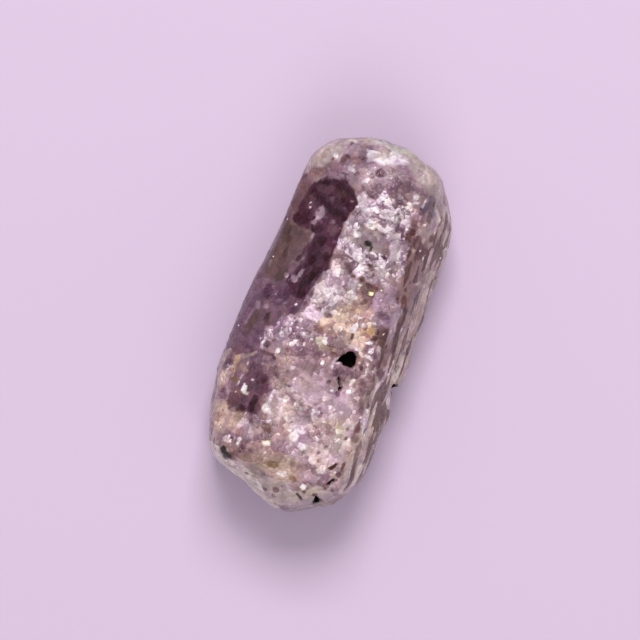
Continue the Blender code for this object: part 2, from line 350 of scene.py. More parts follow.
# Spots: tone, how much of it shows, middle across and along, half width, half length, turn in degrees
SPOTS = (
    # The domed far end
    ("rim", 0.9, 0.2, 16.25, 3.3, 0.35, 0),
    ("green grey", 0.5, -0.8, 16.5, 0.9, 0.14, -3),
    ("grey", 0.7, -1.0, 15.95, 0.24, 0.13, 0),
    ("dome grey", 0.9, -0.6, 15.55, 0.28, 0.24, 0),
    ("dusky plum", 0.6, -1.85, 15.5, 0.18, 0.28, 0),
    ("brown mauve", 0.5, -2.4, 15.4, 0.34, 0.22, 0),
    ("pale rim", 0.6, -3.6, 15.45, 0.50, 0.16, 5),
    ("grey", 0.5, -3.5, 15.3, 0.30, 0.12, 0),
    ("violet", 0.45, -2.3, 14.5, 0.36, 0.45, 0),
    ("brown mauve", 0.5, -2.8, 14.0, 0.60, 0.35, 10),
    ("plum", 0.85, -3.6, 14.05, 0.26, 0.20, 20),
    ("brown mauve", 0.9, -3.8, 13.65, 0.28, 0.28, 0),
    ("dome white", 0.75, -4.6, 13.8, 0.24, 0.20, -20),
    ("dome white", 0.5, -5.6, 12.5, 0.17, 0.15, 0),
    ("dome white", 0.6, -4.7, 12.5, 0.17, 0.15, 0),
    ("pale rim", 0.6, -6.45, 12.3, 0.12, 0.20, 0),
    ("dome white", 0.4, -5.2, 14.3, 0.30, 0.20, -30),
    ("dome white", 0.6, -2.9, 13.1, 0.36, 0.18, -10),
    ("brown mauve", 0.5, -4.3, 12.9, 0.70, 0.70, 0),
    ("brown mauve", 0.6, -5.5, 11.9, 0.90, 0.40, 35),
    ("violet", 0.8, -2.3, 12.95, 0.36, 0.20, 25),
    ("lavender", 0.6, -1.6, 13.4, 0.50, 0.50, 0),
    ("dusky plum", 0.95, -0.45, 13.65, 0.44, 0.40, -20),
    ("dusky plum", 0.95, -1.0, 13.15, 0.20, 0.22, 0),
    ("dusky plum", 0.7, -1.25, 14.25, 0.15, 0.14, 0),
    ("violet", 0.7, -0.2, 12.55, 0.26, 0.32, 0),
    ("violet", 0.8, -0.5, 11.75, 0.38, 0.30, 0),
    ("violet", 0.6, -1.35, 11.9, 0.30, 0.22, 0),
    ("plum", 0.7, -3.3, 12.55, 0.34, 0.14, 0),
    ("lavender", 0.6, 0.15, 13.1, 0.16, 0.50, 0),
    ("violet", 0.75, 1.3, 13.2, 0.48, 0.45, 0),
    ("violet", 0.85, 1.0, 12.6, 0.50, 0.26, 5),
    ("violet", 0.4, 2.4, 13.4, 0.50, 0.60, 0),
    ("maroon", 0.35, 2.4, 14.1, 0.50, 0.12, 0),
    # A painted glint on the dome
    ("dome white", 0.7, 0.2, 14.25, 0.12, 0.12, 0),
    ("dome white", 0.7, 3.2, 12.8, 0.22, 0.20, 0),
    ("white", 0.7, 3.45, 12.35, 0.30, 0.15, 20),
    ("white", 0.8, 3.0, 11.85, 0.16, 0.42, 40),
    ("white", 0.85, 1.8, 12.35, 0.15, 0.32, 60),
    ("white", 0.8, 0.8, 11.7, 0.75, 0.45, 15),
    ("violet", 0.8, 2.2, 11.85, 0.55, 0.20, -10),
    ("blue grey", 0.9, 4.3, 12.2, 0.36, 0.50, 0),
    ("blue grey", 0.7, 5.0, 11.85, 0.32, 0.36, 0),
    ("blue grey", 0.5, 4.5, 13.0, 0.30, 0.40, 0),
    ("dome white", 0.8, 5.5, 11.95, 0.15, 0.65, 35),
    ("side brown", 0.7, 5.6, 13.4, 0.14, 0.50, 30),
    ("side brown", 0.8, 6.8, 11.3, 0.22, 0.45, 20),
    ("side grey", 0.6, 6.1, 12.4, 0.30, 0.70, 30),
    # The dark window
    ("deep plum", 0.9, -3.2, 11.1, 0.85, 0.50, 10),
    ("maroon", 0.4, -3.3, 10.8, 0.60, 0.40, 0),
    ("deep plum", 0.8, -4.6, 11.25, 0.32, 0.20, 0),
    ("dusky plum", 0.8, -4.6, 10.7, 0.60, 0.38, 0),
    ("dusky plum", 0.7, -4.1, 11.1, 0.24, 0.14, 0),
    ("deep plum", 0.8, -4.0, 10.45, 0.22, 0.20, 0),
    ("deep plum", 0.9, -4.6, 9.8, 0.42, 0.28, 0),
    ("deep plum", 0.7, -4.0, 9.6, 0.30, 0.20, 0),
    ("deep plum", 0.95, -3.2, 9.2, 0.75, 0.32, -15),
    ("deep plum", 0.8, -2.3, 10.1, 0.20, 0.32, 0),
    ("deep plum", 0.8, -2.2, 8.9, 0.20, 0.30, 0),
    ("violet", 0.8, -3.7, 10.1, 0.16, 0.30, 0),
    ("violet", 0.8, -2.4, 9.6, 0.26, 0.25, 0),
    ("lavender", 0.6, -2.0, 10.5, 0.12, 0.10, 0),
    ("violet", 0.6, -4.2, 8.7, 0.55, 0.80, -8),
    ("lavender", 0.85, -4.3, 8.65, 0.36, 0.62, -5),
    ("lavender", 0.5, -4.5, 7.8, 0.20, 0.35, 0),
    ("violet", 0.8, -3.0, 8.3, 0.32, 0.26, 0),
    ("lavender", 0.5, -2.95, 8.35, 0.16, 0.13, 0),
    ("dusky plum", 0.8, -2.9, 7.6, 0.50, 0.45, 0),
    ("violet", 0.6, -2.6, 7.7, 0.10, 0.40, 0),
    ("dusky plum", 0.6, -5.3, 9.2, 0.40, 0.70, 0),
    ("deep plum", 0.7, -5.4, 10.3, 0.20, 0.30, 0),
    ("deep plum", 0.8, -5.3, 7.6, 0.42, 0.36, 0),
    ("deep plum", 0.6, -6.0, 7.5, 0.24, 0.30, 0),
    ("deep plum", 0.9, -4.2, 7.1, 0.22, 0.30, -20),
    ("deep plum", 0.7, -3.9, 7.4, 0.28, 0.30, 0),
    ("deep plum", 0.9, -3.3, 6.5, 0.38, 0.42, 0),
    ("violet", 0.7, -2.3, 6.7, 0.20, 0.22, 0),
    ("dusky plum", 0.6, -2.7, 5.8, 0.50, 0.40, 0),
    ("deep plum", 0.7, -2.5, 5.3, 0.30, 0.40, 0),
    ("deep plum", 0.95, -3.6, 4.7, 0.42, 0.55, 20),
    ("dusky plum", 0.6, -2.9, 4.6, 0.30, 0.40, 0),
    ("plum", 0.8, -4.3, 5.4, 0.20, 0.80, -15),
    ("plum", 0.8, -4.7, 4.4, 0.14, 0.35, -15),
    ("violet", 0.5, -4.3, 4.3, 0.20, 0.40, -15),
    ("violet", 0.7, -3.4, 3.7, 0.14, 0.45, -15),
    ("deep plum", 0.95, -3.0, 3.3, 0.25, 0.60, -20),
    ("deep plum", 1.0, -3.5, 2.2, 0.55, 0.85, -15),
    ("deep plum", 0.7, -3.6, 1.5, 0.30, 0.50, 0),
    ("violet", 0.8, -2.3, 3.3, 0.20, 0.40, 0),
    ("violet", 0.8, -2.75, 2.7, 0.22, 0.35, 0),
    ("dusky plum", 0.8, -2.5, 1.9, 0.22, 0.25, 0),
    ("lilac", 0.7, -2.75, 1.25, 0.17, 0.25, -10),
    # The smooth strip left of it
    ("smoke", 0.5, -6.3, 9.5, 0.50, 1.50, 0),
    ("brown mauve", 0.5, -4.7, 6.4, 0.16, 0.90, -5),
    ("dark smoke", 0.8, -5.9, 5.6, 0.28, 0.35, 0),
    ("dark smoke", 0.7, -5.8, 4.4, 0.12, 0.50, 5),
    ("dark smoke", 0.5, -6.1, 6.4, 0.16, 0.60, 0),
    ("lavender", 0.8, -4.45, 2.6, 0.26, 0.30, 0),
    ("lavender", 0.85, -4.1, 3.25, 0.15, 0.45, -20),
    ("violet", 0.5, -4.8, 3.3, 0.40, 0.60, 0),
    ("lavender", 0.4, -6.7, 3.1, 0.14, 0.35, 0),
    ("dark violet", 0.8, -6.0, 0.8, 0.40, 0.70, 0),
    ("dark violet", 0.6, -4.6, 1.1, 0.28, 0.70, 10),
    ("dark violet", 0.5, -3.4, 0.0, 0.50, 0.40, 0),
    ("lavender", 0.5, -5.0, 0.35, 0.22, 0.22, 0),
    ("lavender", 0.5, -4.4, 0.35, 0.20, 0.25, 0),
    ("lavender", 0.5, -6.4, -0.7, 0.16, 0.35, 15),
    ("lavender", 0.5, -5.7, -0.5, 0.18, 0.18, 0),
    ("dark smoke", 0.8, -5.4, -1.2, 0.45, 0.45, 0),
    ("dark smoke", 0.5, -5.0, -1.7, 0.30, 0.25, 0),
    ("smoke", 0.9, -6.4, -2.2, 0.30, 1.30, -8),
    ("lavender", 0.4, -6.8, -1.9, 0.10, 0.70, -12),
    ("violet", 0.8, -5.8, -2.9, 0.36, 0.60, 0),
    ("dark violet", 0.6, -5.5, -3.6, 0.26, 0.25, 0),
    # The upper front
    ("plate", 0.95, -0.9, 10.95, 0.52, 0.45, -10),
    ("plate", 0.8, 1.5, 10.95, 0.42, 0.30, 0),
    ("plate", 0.85, 3.2, 10.4, 0.50, 0.60, 0),
    ("plate", 0.6, 0.3, 10.05, 0.70, 0.20, 0),
    ("plate", 0.5, -0.6, 9.5, 0.50, 0.30, 0),
    ("violet", 0.75, 0.8, 11.0, 0.50, 0.18, 5),
    ("violet", 0.9, 2.3, 10.85, 0.12, 0.24, 0),
    ("violet", 0.8, 2.5, 10.5, 0.16, 0.12, 0),
    ("violet", 0.7, 1.0, 9.9, 0.90, 0.14, 0),
    ("violet", 0.7, 2.6, 9.85, 0.70, 0.13, -15),
    ("violet", 0.8, 1.3, 9.55, 0.40, 0.20, 0),
    ("violet", 0.5, 2.6, 9.5, 0.50, 0.25, 0),
    ("violet", 0.8, 1.05, 8.95, 0.20, 0.20, 0),
    ("violet", 0.5, -1.0, 8.9, 0.50, 0.20, 0),
    ("violet", 0.5, -0.3, 8.85, 0.30, 0.18, 0),
    ("maroon", 0.7, -1.3, 9.7, 0.32, 0.20, 0),
    ("white", 0.9, 0.45, 10.5, 0.20, 0.16, 0),
    ("white", 0.8, 1.2, 10.7, 0.12, 0.14, 0),
    ("white", 0.8, 1.4, 10.15, 0.28, 0.20, 0),
    ("white", 0.9, 2.25, 10.35, 0.12, 0.22, 0),
    ("white", 0.8, 2.6, 11.0, 0.24, 0.32, 0),
    ("white", 0.8, 1.8, 9.3, 0.20, 0.32, 0),
    ("white", 0.9, 2.8, 9.2, 0.15, 0.12, 0),
    ("white", 0.9, 0.4, 9.15, 0.42, 0.32, 0),
    ("white", 0.8, -1.45, 10.25, 0.30, 0.10, 15),
    ("grey", 0.95, 0.9, 7.9, 1.90, 0.85, -5),
    ("dusky plum", 0.8, 1.5, 8.7, 0.60, 0.07, -10),
    ("violet", 0.6, 0.65, 8.4, 0.22, 0.20, 0),
    ("lavender", 0.8, 0.15, 8.4, 0.22, 0.22, 0),
    ("dusky plum", 0.7, 2.65, 8.4, 0.24, 0.06, -25),
    ("plate", 0.95, 3.4, 8.0, 0.66, 0.88, 0),
    ("plate", 0.6, 2.5, 8.9, 0.40, 0.22, 0),
    ("brown mauve", 0.6, 2.2, 7.8, 0.35, 0.50, 0),
    ("brown mauve", 0.8, 2.45, 7.35, 0.20, 0.18, 0),
    ("white", 0.9, -0.5, 8.0, 0.38, 0.26, 0),
    ("plate", 0.8, -0.3, 6.75, 0.40, 0.28, 0),
    ("plate", 0.9, -1.3, 7.1, 0.20, 0.28, 0),
    ("plum", 0.9, 2.45, 6.85, 0.28, 0.13, -5),
    ("plum", 0.8, 3.5, 6.8, 0.32, 0.05, -35),
    ("olive", 1.0, 0.66, 7.58, 0.34, 0.22, -15),
    ("olive", 0.95, 1.05, 7.3, 0.14, 0.26, 10),
    ("grey", 0.6, 1.5, 6.7, 0.70, 0.20, 0),
    ("maroon", 0.8, -1.2, 6.5, 0.22, 0.14, -25),
    ("violet", 0.7, -0.5, 6.4, 0.16, 0.32, 30),
    ("white", 0.85, 0.4, 6.45, 0.17, 0.40, 0),
    ("white", 0.9, 1.4, 6.17, 0.28, 0.14, 0),
    ("umber", 0.95, 1.45, 5.86, 0.28, 0.09, 0),
    ("white", 0.8, 2.3, 6.3, 0.36, 0.40, -20),
    ("violet", 0.7, 3.0, 6.4, 0.30, 0.30, 0),
    ("violet", 0.5, 3.5, 5.8, 0.30, 0.35, 0),
    ("plate", 0.7, 4.0, 6.3, 0.16, 0.42, 15),
    ("plate", 0.8, 2.7, 5.5, 0.50, 0.40, 0),
    ("plate", 0.8, 3.4, 4.75, 0.38, 0.22, 0),
    # The plates of the middle and the brown streak above them
    ("dusky plum", 0.8, -0.2, 4.95, 0.55, 0.22, -35),
    ("maroon", 0.9, 0.3, 4.6, 0.36, 0.14, 5),
    ("maroon", 0.9, 1.25, 4.55, 0.26, 0.25, 0),
    ("umber", 0.5, 1.25, 4.55, 0.20, 0.20, 0),
    ("maroon", 0.8, 1.75, 4.35, 0.42, 0.20, -10),
    ("maroon", 0.95, 2.5, 4.3, 0.34, 0.20, 0),
    ("maroon", 0.8, 2.0, 5.15, 0.20, 0.25, 0),
    ("brown mauve", 0.8, 1.7, 5.6, 0.35, 0.16, -10),
    ("plate", 0.9, 0.8, 5.1, 0.45, 0.36, 0),
    ("plate", 0.6, 1.95, 4.7, 0.20, 0.12, -30),
    ("plate", 0.95, -1.25, 4.55, 0.55, 0.50, 0),
    ("white", 0.6, -0.8, 4.6, 0.14, 0.25, 0),
    ("lavender", 0.7, -1.6, 3.5, 0.45, 0.42, 0),
    ("plate", 0.9, -0.45, 4.0, 0.38, 0.34, 0),
    ("white", 0.95, -0.7, 3.15, 0.25, 0.48, 35),
    ("white", 0.5, -1.1, 2.5, 0.50, 0.38, 0),
    ("maroon", 0.7, -1.1, 1.93, 0.30, 0.07, 0),
    ("brown mauve", 0.6, -1.9, 1.15, 0.42, 0.15, 0),
    ("mauve", 0.7, -1.5, 0.85, 0.36, 0.25, 0),
    ("dusky plum", 0.9, -0.4, 0.65, 0.42, 0.26, 0),
    ("brown mauve", 0.7, -0.6, 1.1, 0.20, 0.25, 0),
    ("mauve", 0.8, 0.2, 3.3, 0.42, 0.36, 0),
    ("lavender", 0.7, 0.4, 3.85, 0.40, 0.28, 0),
    ("white", 0.9, 0.85, 3.1, 0.32, 0.30, 0),
    ("white", 0.8, 1.1, 2.8, 0.20, 0.24, 0),
    ("brown mauve", 0.6, 0.7, 2.5, 0.20, 0.10, 0),
    ("brown mauve", 0.7, 1.3, 3.6, 0.45, 0.40, 0),
    ("umber", 0.8, 2.4, 3.6, 0.36, 0.34, 0),
    ("maroon", 0.9, 2.1, 2.75, 0.20, 0.48, -30),
    ("tan", 0.7, 1.5, 2.8, 0.28, 0.38, 0),
    ("plate", 0.5, 3.3, 3.0, 0.30, 0.60, 0),
    ("violet", 0.9, 4.0, 2.2, 0.72, 0.34, 5),
    ("dark violet", 0.5, 4.4, 1.9, 0.40, 0.24, 20),
    ("lilac", 0.7, 4.6, 2.9, 0.24, 0.50, 10),
    # The peach zone, down to the black pit
    ("cream green", 0.7, 0.65, 1.9, 0.12, 0.40, -35),
    ("maroon", 0.7, 1.0, 2.0, 0.12, 0.14, 0),
    ("brown mauve", 0.7, 1.4, 1.75, 0.30, 0.07, -10),
    ("white", 0.6, 3.5, 1.3, 0.28, 0.36, 30),
    ("orange", 0.6, 2.9, 0.4, 0.28, 0.36, 0),
    ("orange", 0.9, 3.5, 0.6, 0.24, 0.42, 0),
    ("orange", 0.8, 3.4, -0.15, 0.18, 0.30, 0),
    ("brown mauve", 0.8, 1.9, 0.75, 0.25, 0.16, 0),
    # These three white spots are painted glints
    ("white", 0.95, 2.05, 0.35, 0.18, 0.42, -10),
    ("white", 0.95, 2.7, 0.8, 0.26, 0.18, 0),
    ("white", 0.9, 3.1, 1.75, 0.14, 0.26, 15),
    ("dusky plum", 0.7, 1.2, -0.4, 0.45, 0.34, 0),
    ("maroon", 0.95, 2.12, -0.45, 0.17, 0.28, 10),
    ("brown mauve", 0.6, 0.25, -0.75, 0.18, 0.12, 0),
    ("white", 0.6, 3.0, -1.4, 0.30, 0.34, 0),
    ("white", 0.9, 3.85, -0.4, 0.15, 0.16, 0),
    ("white", 1.0, 4.05, -1.0, 0.22, 0.26, 0),
    ("white", 1.0, 4.15, -1.6, 0.42, 0.20, 0),
    ("plate", 0.9, 4.8, -0.95, 0.20, 0.60, 25),
    ("violet", 0.6, 4.5, -1.3, 0.12, 0.40, 20),
    ("brown mauve", 0.8, -0.8, -0.8, 0.55, 0.24, -15),
    ("brown mauve", 0.7, -0.6, -1.5, 0.25, 0.30, 0),
    ("cream green", 0.95, 0.0, -1.6, 0.50, 0.50, 0),
    ("cream green", 0.9, 0.05, -2.3, 0.36, 0.26, 0),
    ("olive brown", 0.7, 0.8, -2.0, 0.60, 0.26, -5),
    ("maroon", 0.8, 1.2, -2.35, 0.30, 0.18, 15),
    ("umber", 0.9, 0.85, -1.8, 0.36, 0.08, -5),
    ("tan", 1.0, 1.12, -2.02, 0.15, 0.14, 0),
    ("plate", 0.7, 1.7, -2.75, 0.30, 0.25, 35),
    ("plate", 0.7, 1.4, -3.3, 0.20, 0.35, 0),
    ("blush", 0.7, 2.3, -3.2, 0.30, 0.18, 0),
    ("orange", 0.6, 3.3, -2.3, 0.14, 0.30, 0),
    # Below the pit
    ("violet", 0.6, 3.2, -3.5, 0.60, 0.30, 0),
    ("dusky plum", 0.7, 4.3, -3.7, 0.30, 0.25, 0),
    ("dusky plum", 0.6, 4.4, -4.5, 0.20, 0.20, 0),
    ("violet", 0.6, 2.0, -3.8, 0.40, 0.30, 0),
    ("violet", 0.5, 4.6, -4.2, 0.50, 0.50, 0),
    ("white", 0.6, 4.3, -2.9, 0.25, 0.36, 0),
    ("white", 0.6, 4.2, -2.2, 0.14, 0.14, 0),
    ("white", 0.85, 3.5, -4.15, 0.17, 0.32, -25),
    ("plate", 0.8, 3.7, -4.8, 0.22, 0.20, 0),
    ("lavender", 0.8, 0.6, -4.3, 0.45, 0.38, 0),
    ("violet", 0.4, 1.8, -5.4, 0.90, 0.25, 0),
    # The lilac bubbles
    ("frost", 0.7, -3.6, -0.8, 0.24, 0.14, 0),
    ("frost", 0.6, -3.4, -1.8, 0.55, 0.32, 0),
    ("frost", 0.6, -2.7, -1.3, 0.22, 0.20, 0),
    ("plate", 0.7, -1.4, -1.6, 0.36, 0.20, -15),
    ("plate", 0.6, -1.3, -1.0, 0.15, 0.45, 40),
    ("frost", 0.8, -2.7, -2.6, 0.40, 0.42, 0),
    ("violet", 0.5, -3.4, -2.6, 0.25, 0.20, 0),
    ("frost", 0.8, -5.1, -3.1, 0.36, 0.42, 0),
    ("frost", 0.6, -4.3, -3.0, 0.36, 0.25, 0),
    ("violet", 0.9, -4.55, -3.5, 0.30, 0.26, -30),
    ("frost", 0.5, -4.8, -3.95, 0.30, 0.20, 0),
    ("dusky plum", 0.95, -2.1, -2.1, 0.50, 0.20, -12),
    ("violet", 0.8, -1.4, -2.9, 0.45, 0.50, 0),
    ("plum", 0.7, -1.55, -3.5, 0.18, 0.18, 0),
    ("dusky plum", 0.6, -0.1, -3.0, 0.30, 0.45, 0),
    ("tan", 0.5, -2.4, -4.3, 0.60, 0.32, 0),
    ("gold", 0.9, -3.4, -4.15, 0.10, 0.14, 0),
    ("dusky plum", 0.9, -4.3, -4.3, 0.50, 0.20, 0),
    ("plum", 0.9, -3.6, -4.45, 0.34, 0.16, -25),
    # The lower front
    ("brown mauve", 0.5, -2.3, -5.1, 0.40, 0.20, 0),
    ("dusky plum", 0.8, -2.9, -5.7, 0.25, 0.30, 0),
    ("dusky plum", 0.6, -0.75, -5.25, 0.20, 0.14, 20),
    ("violet", 0.5, -1.6, -6.2, 0.55, 0.15, 25),
    ("peach", 0.5, -2.6, -6.5, 0.36, 0.40, 0),
    ("white", 0.5, -1.2, -6.7, 0.20, 0.20, 0),
    ("violet", 0.45, -0.8, -7.2, 0.36, 0.20, 0),
    ("brown mauve", 0.6, 0.1, -7.4, 0.36, 0.11, -5),
    ("brown mauve", 0.4, 1.1, -6.9, 0.40, 0.15, 0),
    ("brown mauve", 0.5, -2.4, -7.4, 0.20, 0.12, 0),
    ("white", 0.95, -1.35, -7.4, 0.20, 0.40, 0),
    ("white", 0.6, -1.9, -7.55, 0.25, 0.18, -30),
    ("white", 0.7, -0.4, -7.65, 0.36, 0.12, 0),
    ("white", 0.8, 0.25, -7.8, 0.24, 0.17, 0),
    ("white", 0.95, 1.2, -7.7, 0.24, 0.42, -5),
    ("cream green", 0.8, 0.75, -7.3, 0.25, 0.18, 0),
    ("white", 0.7, 1.7, -6.3, 0.22, 0.20, 0),
    ("white", 0.7, 2.95, -7.4, 0.32, 0.07, -20),
    ("cream green", 0.9, 2.6, -8.2, 0.36, 0.26, -10),
    ("white", 0.5, 2.4, -8.55, 0.40, 0.14, 0),
    ("violet", 0.5, 0.6, -8.35, 0.65, 0.16, 5),
    ("haze", 0.6, 0.5, -8.9, 1.20, 0.30, 5),
    ("violet", 0.6, 1.3, -9.3, 0.30, 0.24, 0),
    ("dusky plum", 0.6, 1.55, -9.8, 0.24, 0.17, 0),
    ("violet", 0.5, 2.4, -9.3, 0.34, 0.22, 0),
    ("tan", 0.5, -2.15, -8.3, 0.20, 0.75, 28),
    ("white", 0.7, -2.7, -8.7, 0.34, 0.40, 0),
    ("white", 0.8, -2.7, -7.9, 0.11, 0.45, 0),
    ("white", 0.6, 0.35, -9.4, 0.65, 0.14, 20),
    ("haze", 0.8, 0.8, -10.3, 0.90, 0.70, 0),
    # Painted glare: bright glints where the lamps catch the facets here
    ("glint", 1.0, 0.4, -10.25, 0.34, 0.38, 0),
    ("glint", 0.95, 0.75, -9.7, 0.46, 0.17, 0),
    ("glint", 1.0, 1.3, -10.8, 0.34, 0.27, -20),
    ("glint", 0.8, -0.2, -9.92, 0.20, 0.10, 20),
    ("glint", 0.6, -0.8, -9.0, 0.20, 0.12, -30),
    ("cream green", 0.9, 3.9, -8.5, 0.50, 0.60, 0),
    ("side grey", 0.4, 4.6, -7.6, 0.40, 0.40, 0),
    ("cream green", 0.7, 4.3, -9.5, 0.45, 0.42, 0),
    ("umber", 0.7, 4.5, -8.05, 0.14, 0.20, 0),
    ("umber", 0.8, 4.7, -8.8, 0.17, 0.22, 10),
    ("olive brown", 0.5, 3.9, -9.0, 0.17, 0.12, 0),
    ("white", 0.9, 3.35, -8.55, 0.14, 0.22, -30),
    ("white", 0.9, 3.85, -9.25, 0.14, 0.10, 0),
    ("plate", 0.8, 4.4, -10.7, 0.22, 0.45, -25),
    ("dusky plum", 0.8, 2.85, -10.75, 0.22, 0.17, 0),
    ("brown mauve", 0.8, 3.25, -10.1, 0.20, 0.17, 0),
    ("brown mauve", 0.6, 2.35, -10.85, 0.26, 0.12, 0),
    ("brown mauve", 0.5, 3.7, -10.2, 0.26, 0.20, 0),
    ("brown mauve", 0.7, -2.7, -9.5, 0.36, 0.34, 0),
    ("brown mauve", 1.0, -2.1, -10.3, 0.48, 0.48, 0),
    ("maroon", 0.8, -1.9, -10.4, 0.26, 0.20, 0),
    ("maroon", 0.6, -2.9, -10.5, 0.15, 0.15, 0),
    ("brown mauve", 0.7, -0.8, -10.95, 0.22, 0.12, 0),
    ("brown mauve", 0.5, -0.05, -11.75, 0.30, 0.15, 0),
    ("brown mauve", 0.4, 0.7, -11.6, 0.30, 0.12, 0),
    ("dusky plum", 0.5, 1.7, -11.2, 0.24, 0.20, 0),
    ("violet", 0.5, 2.1, -11.6, 0.26, 0.12, 0),
    ("brown mauve", 0.4, 1.0, -12.5, 0.25, 0.28, 0),
    ("violet", 0.5, 1.6, -12.4, 0.16, 0.42, 0),
    ("umber", 0.6, -1.85, -11.25, 0.30, 0.14, 20),
    ("green glint", 1.0, -1.6, -11.65, 0.40, 0.25, 0),
    ("glint", 1.0, -1.58, -11.65, 0.26, 0.16, 0),
    # The lower left
    ("dusky plum", 0.7, -6.8, -4.9, 0.60, 0.35, 0),
    ("dark violet", 0.6, -5.9, -4.4, 0.60, 0.22, -20),
    ("plum", 0.6, -7.2, -6.2, 0.30, 0.70, 0),
    ("tan", 0.6, -5.5, -4.85, 0.60, 0.15, 35),
    ("gold", 1.0, -6.5, -5.6, 0.20, 0.42, 0),
    ("gold", 0.7, -6.45, -6.35, 0.24, 0.30, 0),
    ("gold", 1.0, -6.5, -6.8, 0.26, 0.17, 0),
    ("peach", 0.6, -5.7, -6.2, 0.46, 0.20, -20),
    ("olive brown", 0.9, -6.1, -7.35, 0.38, 0.28, 0),
    ("gold", 0.8, -6.35, -7.1, 0.08, 0.22, -25),
    ("tan", 0.7, -7.0, -7.8, 0.40, 0.90, 0),
    ("brown mauve", 0.7, -5.8, -8.1, 0.60, 0.50, 0),
    ("glint", 1.0, -5.05, -7.8, 0.19, 0.42, 10),
    ("white", 0.6, -4.75, -8.1, 0.16, 0.10, 0),
    ("white", 0.9, -4.7, -6.85, 0.16, 0.15, 0),
    ("plum", 0.6, -4.1, -6.5, 0.70, 0.60, 0),
    ("deep plum", 0.95, -3.95, -8.8, 0.36, 0.85, 0),
    ("deep plum", 0.8, -4.65, -9.4, 0.36, 0.24, -20),
    ("violet", 0.5, -4.4, -9.1, 0.18, 0.18, 0),
    ("dark violet", 0.8, -6.7, -8.5, 0.10, 0.26, 15),
    ("maroon", 0.6, -5.6, -9.3, 0.60, 0.36, 0),
    ("umber", 0.5, -5.1, -9.8, 0.70, 0.26, 0),
    ("umber", 0.4, -4.6, -10.3, 0.50, 0.34, 0),
    ("dusky plum", 0.8, -3.55, -10.3, 0.17, 0.36, 15),
    ("brown mauve", 0.5, -6.5, -10.6, 0.15, 0.13, 0),
    ("plate", 0.8, -3.8, -10.75, 0.45, 0.42, 0),
    ("plate", 0.6, -3.5, -11.5, 0.40, 0.40, 0),
    ("violet", 0.6, -4.5, -11.85, 0.55, 0.16, 0),
    ("dark violet", 0.5, -5.35, -12.2, 0.15, 0.15, 0),
    ("plate", 0.8, -5.0, -12.5, 0.30, 0.28, 0),
    ("white", 0.9, -3.95, -12.25, 0.16, 0.36, 0),
    ("mauve", 0.7, -4.3, -12.85, 0.45, 0.22, 0),
    ("dusky plum", 0.8, -3.5, -12.75, 0.26, 0.42, 15),
    ("violet", 0.6, -2.7, -12.6, 0.20, 0.30, 0),
    # The near end
    ("green grey", 1.0, -4.95, -13.4, 0.28, 0.38, 10),
    ("green grey", 1.0, -4.55, -13.72, 0.48, 0.26, -18),
    ("maroon", 0.6, -4.25, -13.5, 0.25, 0.18, 0),
    ("olive brown", 0.3, -2.9, -13.4, 0.50, 0.34, 0),
    ("olive brown", 0.9, -0.5, -13.1, 0.56, 0.36, 15),
    ("olive brown", 0.85, 1.55, -13.65, 0.42, 0.30, -10),
    ("olive brown", 0.6, 2.3, -14.4, 0.30, 0.24, -30),
    ("white", 0.6, 0.5, -13.65, 0.40, 0.14, 0),
    ("white", 0.7, 2.3, -13.4, 0.12, 0.30, 20),
    ("white", 0.5, -1.5, -13.2, 0.24, 0.08, -25),
    ("haze", 0.6, 2.9, -13.2, 0.80, 0.50, 0),
    ("maroon", 0.9, 2.9, -14.45, 0.16, 0.26, 0),
    ("umber", 1.0, 2.6, -14.95, 0.42, 0.11, -38),
    ("glint", 1.0, 2.65, -14.0, 0.26, 0.22, 0),
    ("maroon", 0.6, -0.15, -14.15, 0.16, 0.11, 0),
    ("brown mauve", 0.4, -1.7, -14.4, 0.36, 0.20, -25),
    ("brown mauve", 0.4, -0.9, -14.25, 0.20, 0.17, 0),
    ("brown mauve", 0.3, 0.6, -14.2, 0.35, 0.20, 0),
    ("dusky plum", 0.6, 0.55, -15.6, 0.20, 0.15, 0),
    ("blue grey", 0.6, 1.7, -16.3, 0.60, 0.22, 0),
    # Painted highlights: thin bright lines along the bevel of the near end
    ("glint", 0.8, -0.5, -15.5, 0.34, 0.06, -35),
    ("glint", 0.5, -1.1, -15.0, 0.40, 0.06, -35),
    ("glint", 0.7, 0.4, -16.08, 0.16, 0.06, 0),
    ("glint", 0.4, -5.6, -13.4, 0.60, 0.05, -45),
    ("grey", 0.5, -1.5, -15.2, 0.50, 0.09, -25),
    ("umber", 1.0, 4.45, -11.45, 0.14, 0.55, -42),
    ("maroon", 0.9, 5.25, -11.2, 0.16, 0.36, 10),
    ("brown mauve", 0.7, 3.95, -11.4, 0.11, 0.30, 0),
    ("glint", 0.8, 4.8, -11.85, 0.17, 0.12, -30),
    ("tan", 0.8, 4.7, -12.25, 0.32, 0.16, 0),
    ("white", 0.5, 3.6, -12.2, 0.36, 0.25, 0),
    ("umber", 0.9, 5.0, -12.65, 0.24, 0.12, 30),
    ("maroon", 0.6, 4.5, -13.3, 0.30, 0.25, 0),
    ("blue grey", 0.4, 5.6, -12.4, 0.26, 0.30, 0),
    ("violet", 0.4, 5.2, -13.4, 0.50, 0.26, 20),
    ("maroon", 0.7, 3.8, -14.4, 0.22, 0.12, -25),
    # The right side
    ("brown mauve", 0.8, 3.8, 10.6, 0.28, 0.32, 0),
    ("brown mauve", 0.6, 4.4, 10.95, 0.22, 0.20, 0),
    ("maroon", 0.8, 3.2, 9.3, 0.18, 0.30, 0),
    ("maroon", 1.0, 4.0, 9.8, 0.30, 0.30, 0),
    ("umber", 0.4, 4.0, 9.8, 0.20, 0.22, 0),
    ("maroon", 0.95, 3.75, 9.3, 0.28, 0.34, 0),
    ("maroon", 0.9, 4.6, 9.45, 0.32, 0.32, 0),
    ("maroon", 0.7, 4.8, 8.9, 0.50, 0.40, 0),
    ("maroon", 1.0, 5.5, 8.75, 0.42, 0.42, 0),
    ("maroon", 0.9, 5.2, 8.1, 0.40, 0.40, 0),
